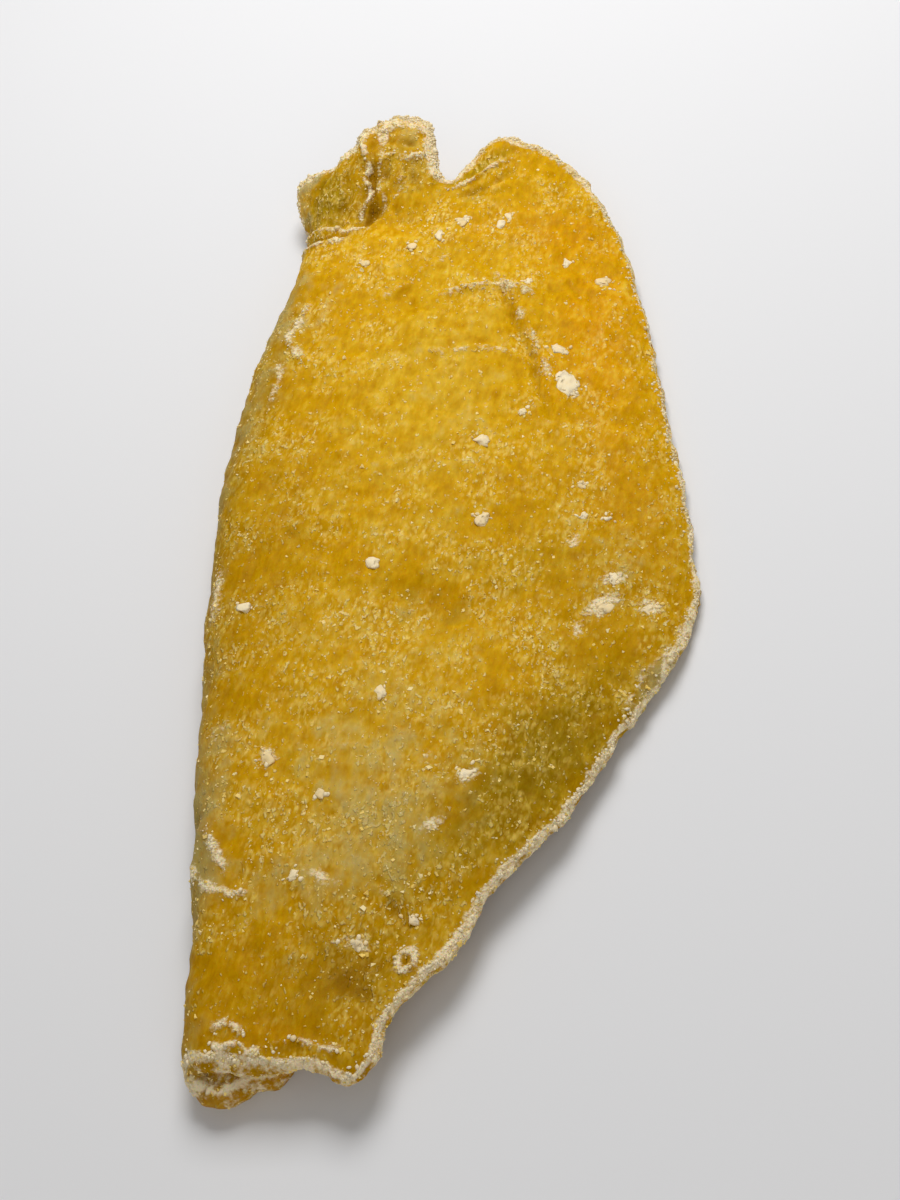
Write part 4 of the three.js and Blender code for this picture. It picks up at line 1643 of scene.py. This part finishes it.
@dataclass(frozen=True)
class SugarGrains:
    """Loose sugar over both faces of the slice.

    Attributes:
        name: The piece's name.
        crystal: The solid that is copied.
        count: How many grains there are.
        seed: Seed of the random numbers.
        median_size: Half size of the middle grain, mm.
        largest: Half size of the largest one, mm.
        spread: How much the sizes differ, as a logarithm.
        shape: Least and most that an axis is stretched by.
        sunk: How deep grains sit in the skin, in half sizes.
        jitter: How unevenly their corners lie.
        clearness: Power that makes more grains clear than white.
    """

    name: str
    crystal: Crystal
    count: int
    seed: int
    median_size: float
    largest: float
    spread: float = 0.38
    shape: Span = (0.7, 1.25)
    sunk: float = 0.45
    jitter: float = 0.2
    clearness: float = 1.9

    def build(self, skin: Skin) -> bpy.types.Object:
        """Scatter the grains.

        Args:
            skin: The places that they can lie on.

        Returns:
            The piece.
        """
        rng = np.random.default_rng(self.seed)
        places, normals = skin.scatter(rng, self.count)
        size = self.median_size * np.exp(self.spread * rng.normal(size=(self.count, 1)))
        size = np.minimum(size, self.largest)
        sizes = size * rng.uniform(*self.shape, (self.count, 3))
        places = places - normals * size * self.sunk
        vertices, faces = self.crystal.copies(rng, places, normals, sizes, self.jitter, flat=False)
        tint = np.repeat(rng.uniform(0, 1, self.count) ** self.clearness, len(self.crystal.corners))
        finish = SugarFinish(self.name).build()
        grains = make_object(self.name, vertices, faces, finish, {"tint": tint}, smooth=False)
        on_slice(grains)
        return grains


@dataclass(frozen=True)
class SugarLumps:
    """White lumps and flakes of clotted sugar on the top, each with crumbs round it."""

    # x, y, half length, half width and height of each, mm.
    lumps: tuple[tuple[float, float, float, float, float], ...] = (
        (11.7, 20.6, 1.5, 1.1, 0.45), (11.1, 21.9, 0.9, 0.6, 0.4), (12.4, 19.5, 0.7, 0.5, 0.4),
        (10.0, 26.0, 1.0, 0.5, 0.35), (3.7, 10.4, 0.75, 0.6, 0.5), (5.6, -0.7, 0.85, 0.65, 0.5),
        (13.6, 38.1, 0.75, 0.7, 0.5), (8.8, 40.8, 0.6, 0.55, 0.4), (7.4, 15.4, 0.4, 0.35, 0.3),
        (15.4, 6.0, 0.5, 0.4, 0.35), (16.3, 1.4, 0.5, 0.35, 0.3), (18.8, 1.6, 0.45, 0.4, 0.3),
        (-5.4, -7.8, 0.75, 0.6, 0.5), (-18.3, -14.5, 0.7, 0.5, 0.4), (-15.7, 38.0, 0.5, 0.4, 0.35),
        (20.6, -6.6, 0.8, 0.5, 0.35), (20.0, -10.2, 0.9, 0.55, 0.35), (24.7, -9.8, 0.8, 0.5, 0.35),
        (-1.3, -24.0, 0.5, 0.7, 0.35), (-11.6, -32.7, 0.6, 0.8, 0.4), (-5.1, -36.4, 0.5, 0.4, 0.3),
        (9.2, -32.5, 0.8, 0.4, 0.35), (-6.0, -45.4, 0.6, 0.4, 0.35), (1.3, -51.2, 0.8, 0.45, 0.35),
        (6.5, -48.1, 0.6, 0.4, 0.35), (-7.4, 43.6, 0.5, 0.8, 0.4), (-5.2, 46.5, 0.5, 0.7, 0.35),
        (-4.6, 47.2, 0.4, 0.5, 0.3), (-0.2, 46.6, 0.35, 0.8, 0.35), (0.6, 48.0, 0.35, 0.7, 0.3),
        (-10.4, 41.3, 0.5, 0.45, 0.4), (4.6, 36.6, 0.4, 0.3, 0.3),
    )
    lump_scale: Triple = (1.2, 1.2, 0.5)
    crumbs_each: int = 7
    crumb_reach: float = 0.9
    crumb_size: Span = (0.1, 0.28)
    crumb_flatness: Triple = (1, 1, 0.7)
    jitter: float = 0.03
    dents: Unevenness = Unevenness(110, 0.8, 3)
    dent_depths: Triple = (0.5, 0.5, 0.05)
    widest_dent: float = 0.8
    ball_rounds: int = 3
    seed: int = 11
    finish: SugarFinish = SugarFinish(
        "sugar_lumps", stained=(0.86, 0.63, 0.29), white=(0.95, 0.78, 0.50), roughness=0.6,
    )

    def build(self, body: FleshBody) -> bpy.types.Object:
        """Make the lumps.

        Args:
            body: The body on whose top they lie.

        Returns:
            The piece.
        """
        rng = np.random.default_rng(self.seed)
        table = np.array(self.lumps)
        around = table.repeat(self.crumbs_each, axis=0)
        around[:, :2] += rng.normal(size=(len(around), 2)) * around[:, 2:4] * self.crumb_reach
        around[:, 2:] = rng.uniform(*self.crumb_size, (len(around), 3)) * self.crumb_flatness
        table[:, 2:] *= self.lump_scale
        everything = np.concatenate([table, around])
        places, normals = body.place(Side.TOP, everything[:, :2])
        ball = Crystal.ball(self.ball_rounds)
        vertices, faces = ball.copies(rng, places, normals, everything[:, 2:], self.jitter, flat=True)
        reach = np.repeat(np.minimum(everything[:, 2], self.widest_dent), len(ball.corners))[:, None]
        dents = [depth * self.dents.shifted(k).at(vertices) for k, depth in enumerate(self.dent_depths)]
        vertices += reach * np.stack(dents, axis=1)
        tint = np.repeat(rng.uniform(0.1, 1, len(everything)), len(ball.corners))
        lumps = make_object("sugar_lumps", vertices, faces, self.finish.build(), {"tint": tint})
        on_slice(lumps)
        return lumps


@dataclass(frozen=True)
class RimCrust:
    """Rounded crumbs of pale crust along the rim and on the crusted ridges."""

    median_size: float = 0.105
    spread: float = 0.4
    shape: Span = (0.7, 1.4)
    flatness: Triple = (1.2, 1.2, 0.8)
    sunk: float = 0.2
    jitter: float = 0.15
    # How much whiter the crumbs are toward the foot.
    foot_white: float = 0.4
    foot_white_y: Span = (20, -30)
    rim_count: int = 2200
    rim_depth: float = 0.5
    clumps: Unevenness = Unevenness(95, 2.4, 2)
    clump_change: float = 1.1
    wider_gain: float = 2.5
    ridge_steps: int = 12
    ridge_count_per_mm: float = 6
    least_crust: float = 0.35
    ridge_spread: float = 0.7
    seed: int = 21
    finish: SugarFinish = SugarFinish(
        "rim_crust", stained=(0.72, 0.53, 0.23), white=(0.92, 0.77, 0.51), roughness=0.6,
    )

    def build(self, body: FleshBody) -> bpy.types.Object:
        """Make the crumbs.

        Args:
            body: The body whose rim and ridges they lie on.

        Returns:
            The piece.
        """
        rng = np.random.default_rng(self.seed)
        points = np.concatenate([self.along_rim(rng, body), self.along_ridges(rng, body.relief)])
        places, normals = body.place(Side.TOP, points)
        size = self.median_size * np.exp(self.spread * rng.normal(size=(len(points), 1)))
        sizes = size * rng.uniform(*self.shape, (len(points), 3)) * np.array(self.flatness)
        ball = Crystal.ball(1)
        places = places - normals * size * self.sunk
        vertices, faces = ball.copies(rng, places, normals, sizes, self.jitter, flat=True)
        whiter = self.foot_white * smooth_ramp(*self.foot_white_y, points[:, 1])
        tint = np.repeat(rng.uniform(0, 1, len(points)) + whiter, len(ball.corners))
        crust = make_object("rim_crust", vertices, faces, self.finish.build(), {"tint": tint})
        on_slice(crust)
        return crust

    def along_rim(self, rng: np.random.Generator, body: FleshBody) -> Array:
        """Draw points just inside the rim, in clumps, and more where its crust is wider.

        Args:
            rng: Source of the random numbers.
            body: The body whose rim it is.

        Returns:
            Points of the pattern.
        """
        rim = body.pattern.rim()
        steps = np.diff(rim, axis=0)
        lengths = np.hypot(*steps.T)
        crowding = self.clump_change * self.clumps.at(rim[:-1])
        crowding = crowding + self.wider_gain * together(body.rim_wider, rim[:-1])
        clumped = lengths * np.exp(crowding)
        chosen = rng.choice(len(steps), self.rim_count, p=clumped / clumped.sum())
        inward = np.stack([-steps[:, 1], steps[:, 0]], axis=1)[chosen] / lengths[chosen, None]
        depth = np.abs(rng.normal(size=(self.rim_count, 1))) * self.rim_depth
        return rim[chosen] + steps[chosen] * rng.uniform(size=(self.rim_count, 1)) + inward * depth

    def along_ridges(self, rng: np.random.Generator, relief: SkinRelief) -> Array:
        """Draw points along the crusted ridges.

        Args:
            rng: Source of the random numbers.
            relief: The relief whose ridges they are.

        Returns:
            Points of the pattern.
        """
        drawn = []
        for stroke in relief.strokes:
            line = smooth_line(np.array(stroke.line), self.ridge_steps, closed=False)
            length = np.hypot(*np.diff(line, axis=0).T).sum()
            count = int(length * self.ridge_count_per_mm * max(stroke.crust - self.least_crust, 0))
            at = rng.uniform(0, len(line) - 1, count)
            spots = np.stack([np.interp(at, np.arange(len(line)), line[:, k]) for k in (0, 1)], axis=1)
            drawn.append(spots + rng.normal(size=(count, 2)) * stroke.width * self.ridge_spread)
        return np.concatenate(drawn)


@dataclass(frozen=True)
class Lamp:
    """A soft square light that faces the slice: its place and width in metres, and its power in watts."""

    name: str
    place: Triple
    width: float
    watts: float

    def build(self) -> None:
        """Hang the light."""
        data = bpy.data.lights.new(self.name, "AREA")
        data.size, data.energy = self.width, self.watts
        lamp = bpy.data.objects.new(self.name, data)
        lamp.location = self.place
        lamp.rotation_euler = (-Vector(self.place)).to_track_quat("-Z", "Y").to_euler()
        bpy.context.scene.collection.objects.link(lamp)


@dataclass(frozen=True)
class Studio:
    """Plain pale floor, soft lights and the photograph's camera, whose places are in mm."""

    lamps: tuple[Lamp, ...] = (
        Lamp("key", (-0.01, 0.22, 0.30), 0.20, 1.16),
        Lamp("fill", (0.14, -0.46, 0.32), 0.6, 0.85),
    )
    sky: Colour = (1.0, 0.98, 0.95)
    sky_strength: float = 0.2
    camera_place: Triple = (58.95, -124.88, 166.0)
    camera_aim: Triple = (3.5, -9.8, 5.0)
    roll: float = -19.45
    lens: float = 57.0
    near_limit: float = 0.01
    floor_colour: Colour = (0.80, 0.80, 0.81)
    floor_metres: float = 6.0
    floor_cloud_mm: float = 400.0
    floor_cloud_share: float = 0.15
    floor_darkening: float = 0.94
    floor_roughness: float = 0.9
    floor_specular: float = 0.2

    def build(self) -> None:
        """Make the floor, the lights and the camera."""
        self.floor()
        for lamp in self.lamps:
            lamp.build()
        world = bpy.data.worlds.new("studio")
        world.use_nodes = True
        world.node_tree.nodes["Background"].inputs["Color"].default_value = (*self.sky, 1.0)
        world.node_tree.nodes["Background"].inputs["Strength"].default_value = self.sky_strength
        bpy.context.scene.world = world
        bpy.context.scene.view_settings.view_transform = "Standard"
        self.camera()

    def floor(self) -> None:
        """Make the floor, which is no part of the slice."""
        tree = ShaderTree("floor_paint")
        share = tree.clouds(self.floor_cloud_mm, 1.0) * self.floor_cloud_share
        darker = tuple(c * self.floor_darkening for c in self.floor_colour)
        material = tree.principled({
            "Base Color": tree.mix(share, self.floor_colour, darker),
            "Roughness": self.floor_roughness,
            "Specular IOR Level": self.floor_specular,
        })
        half = self.floor_metres / 2 / METRES_PER_MM
        corners = np.array([(-half, -half, 0), (half, -half, 0), (half, half, 0), (-half, half, 0)], float)
        make_object("floor", corners, np.array([[0, 1, 2, 3]]), material, {})

    def camera(self) -> None:
        """Stand the camera where the photograph was taken from."""
        place, aim = (Vector(point) * METRES_PER_MM for point in (self.camera_place, self.camera_aim))
        turned = (aim - place).to_track_quat("-Z", "Y").to_matrix()
        turned = turned @ Matrix.Rotation(math.radians(self.roll), 3, "Z")
        data = bpy.data.cameras.new("camera")
        data.lens = self.lens
        data.clip_start = self.near_limit
        camera = bpy.data.objects.new("camera", data)
        camera.matrix_world = Matrix.Translation(place) @ turned.to_4x4()
        bpy.context.scene.collection.objects.link(camera)
        bpy.context.scene.camera = camera


def main() -> None:
    """Build the slice, its sugar and crust, and the studio."""
    logging.basicConfig(level=logging.INFO, format="%(name)s %(message)s")
    flesh = FleshBody()
    _, skin = flesh.build()
    cube, octahedron = Crystal.cube(), Crystal.octahedron()
    SugarGrains("sugar_grains", cube, count=4500, seed=5, median_size=0.17, largest=0.34).build(skin)
    SugarGrains("sugar_dust", octahedron, count=8000, seed=6, median_size=0.13, largest=0.22).build(skin)
    SugarLumps().build(flesh)
    RimCrust().build(flesh)
    Studio().build()


if __name__ == "__main__":
    main()
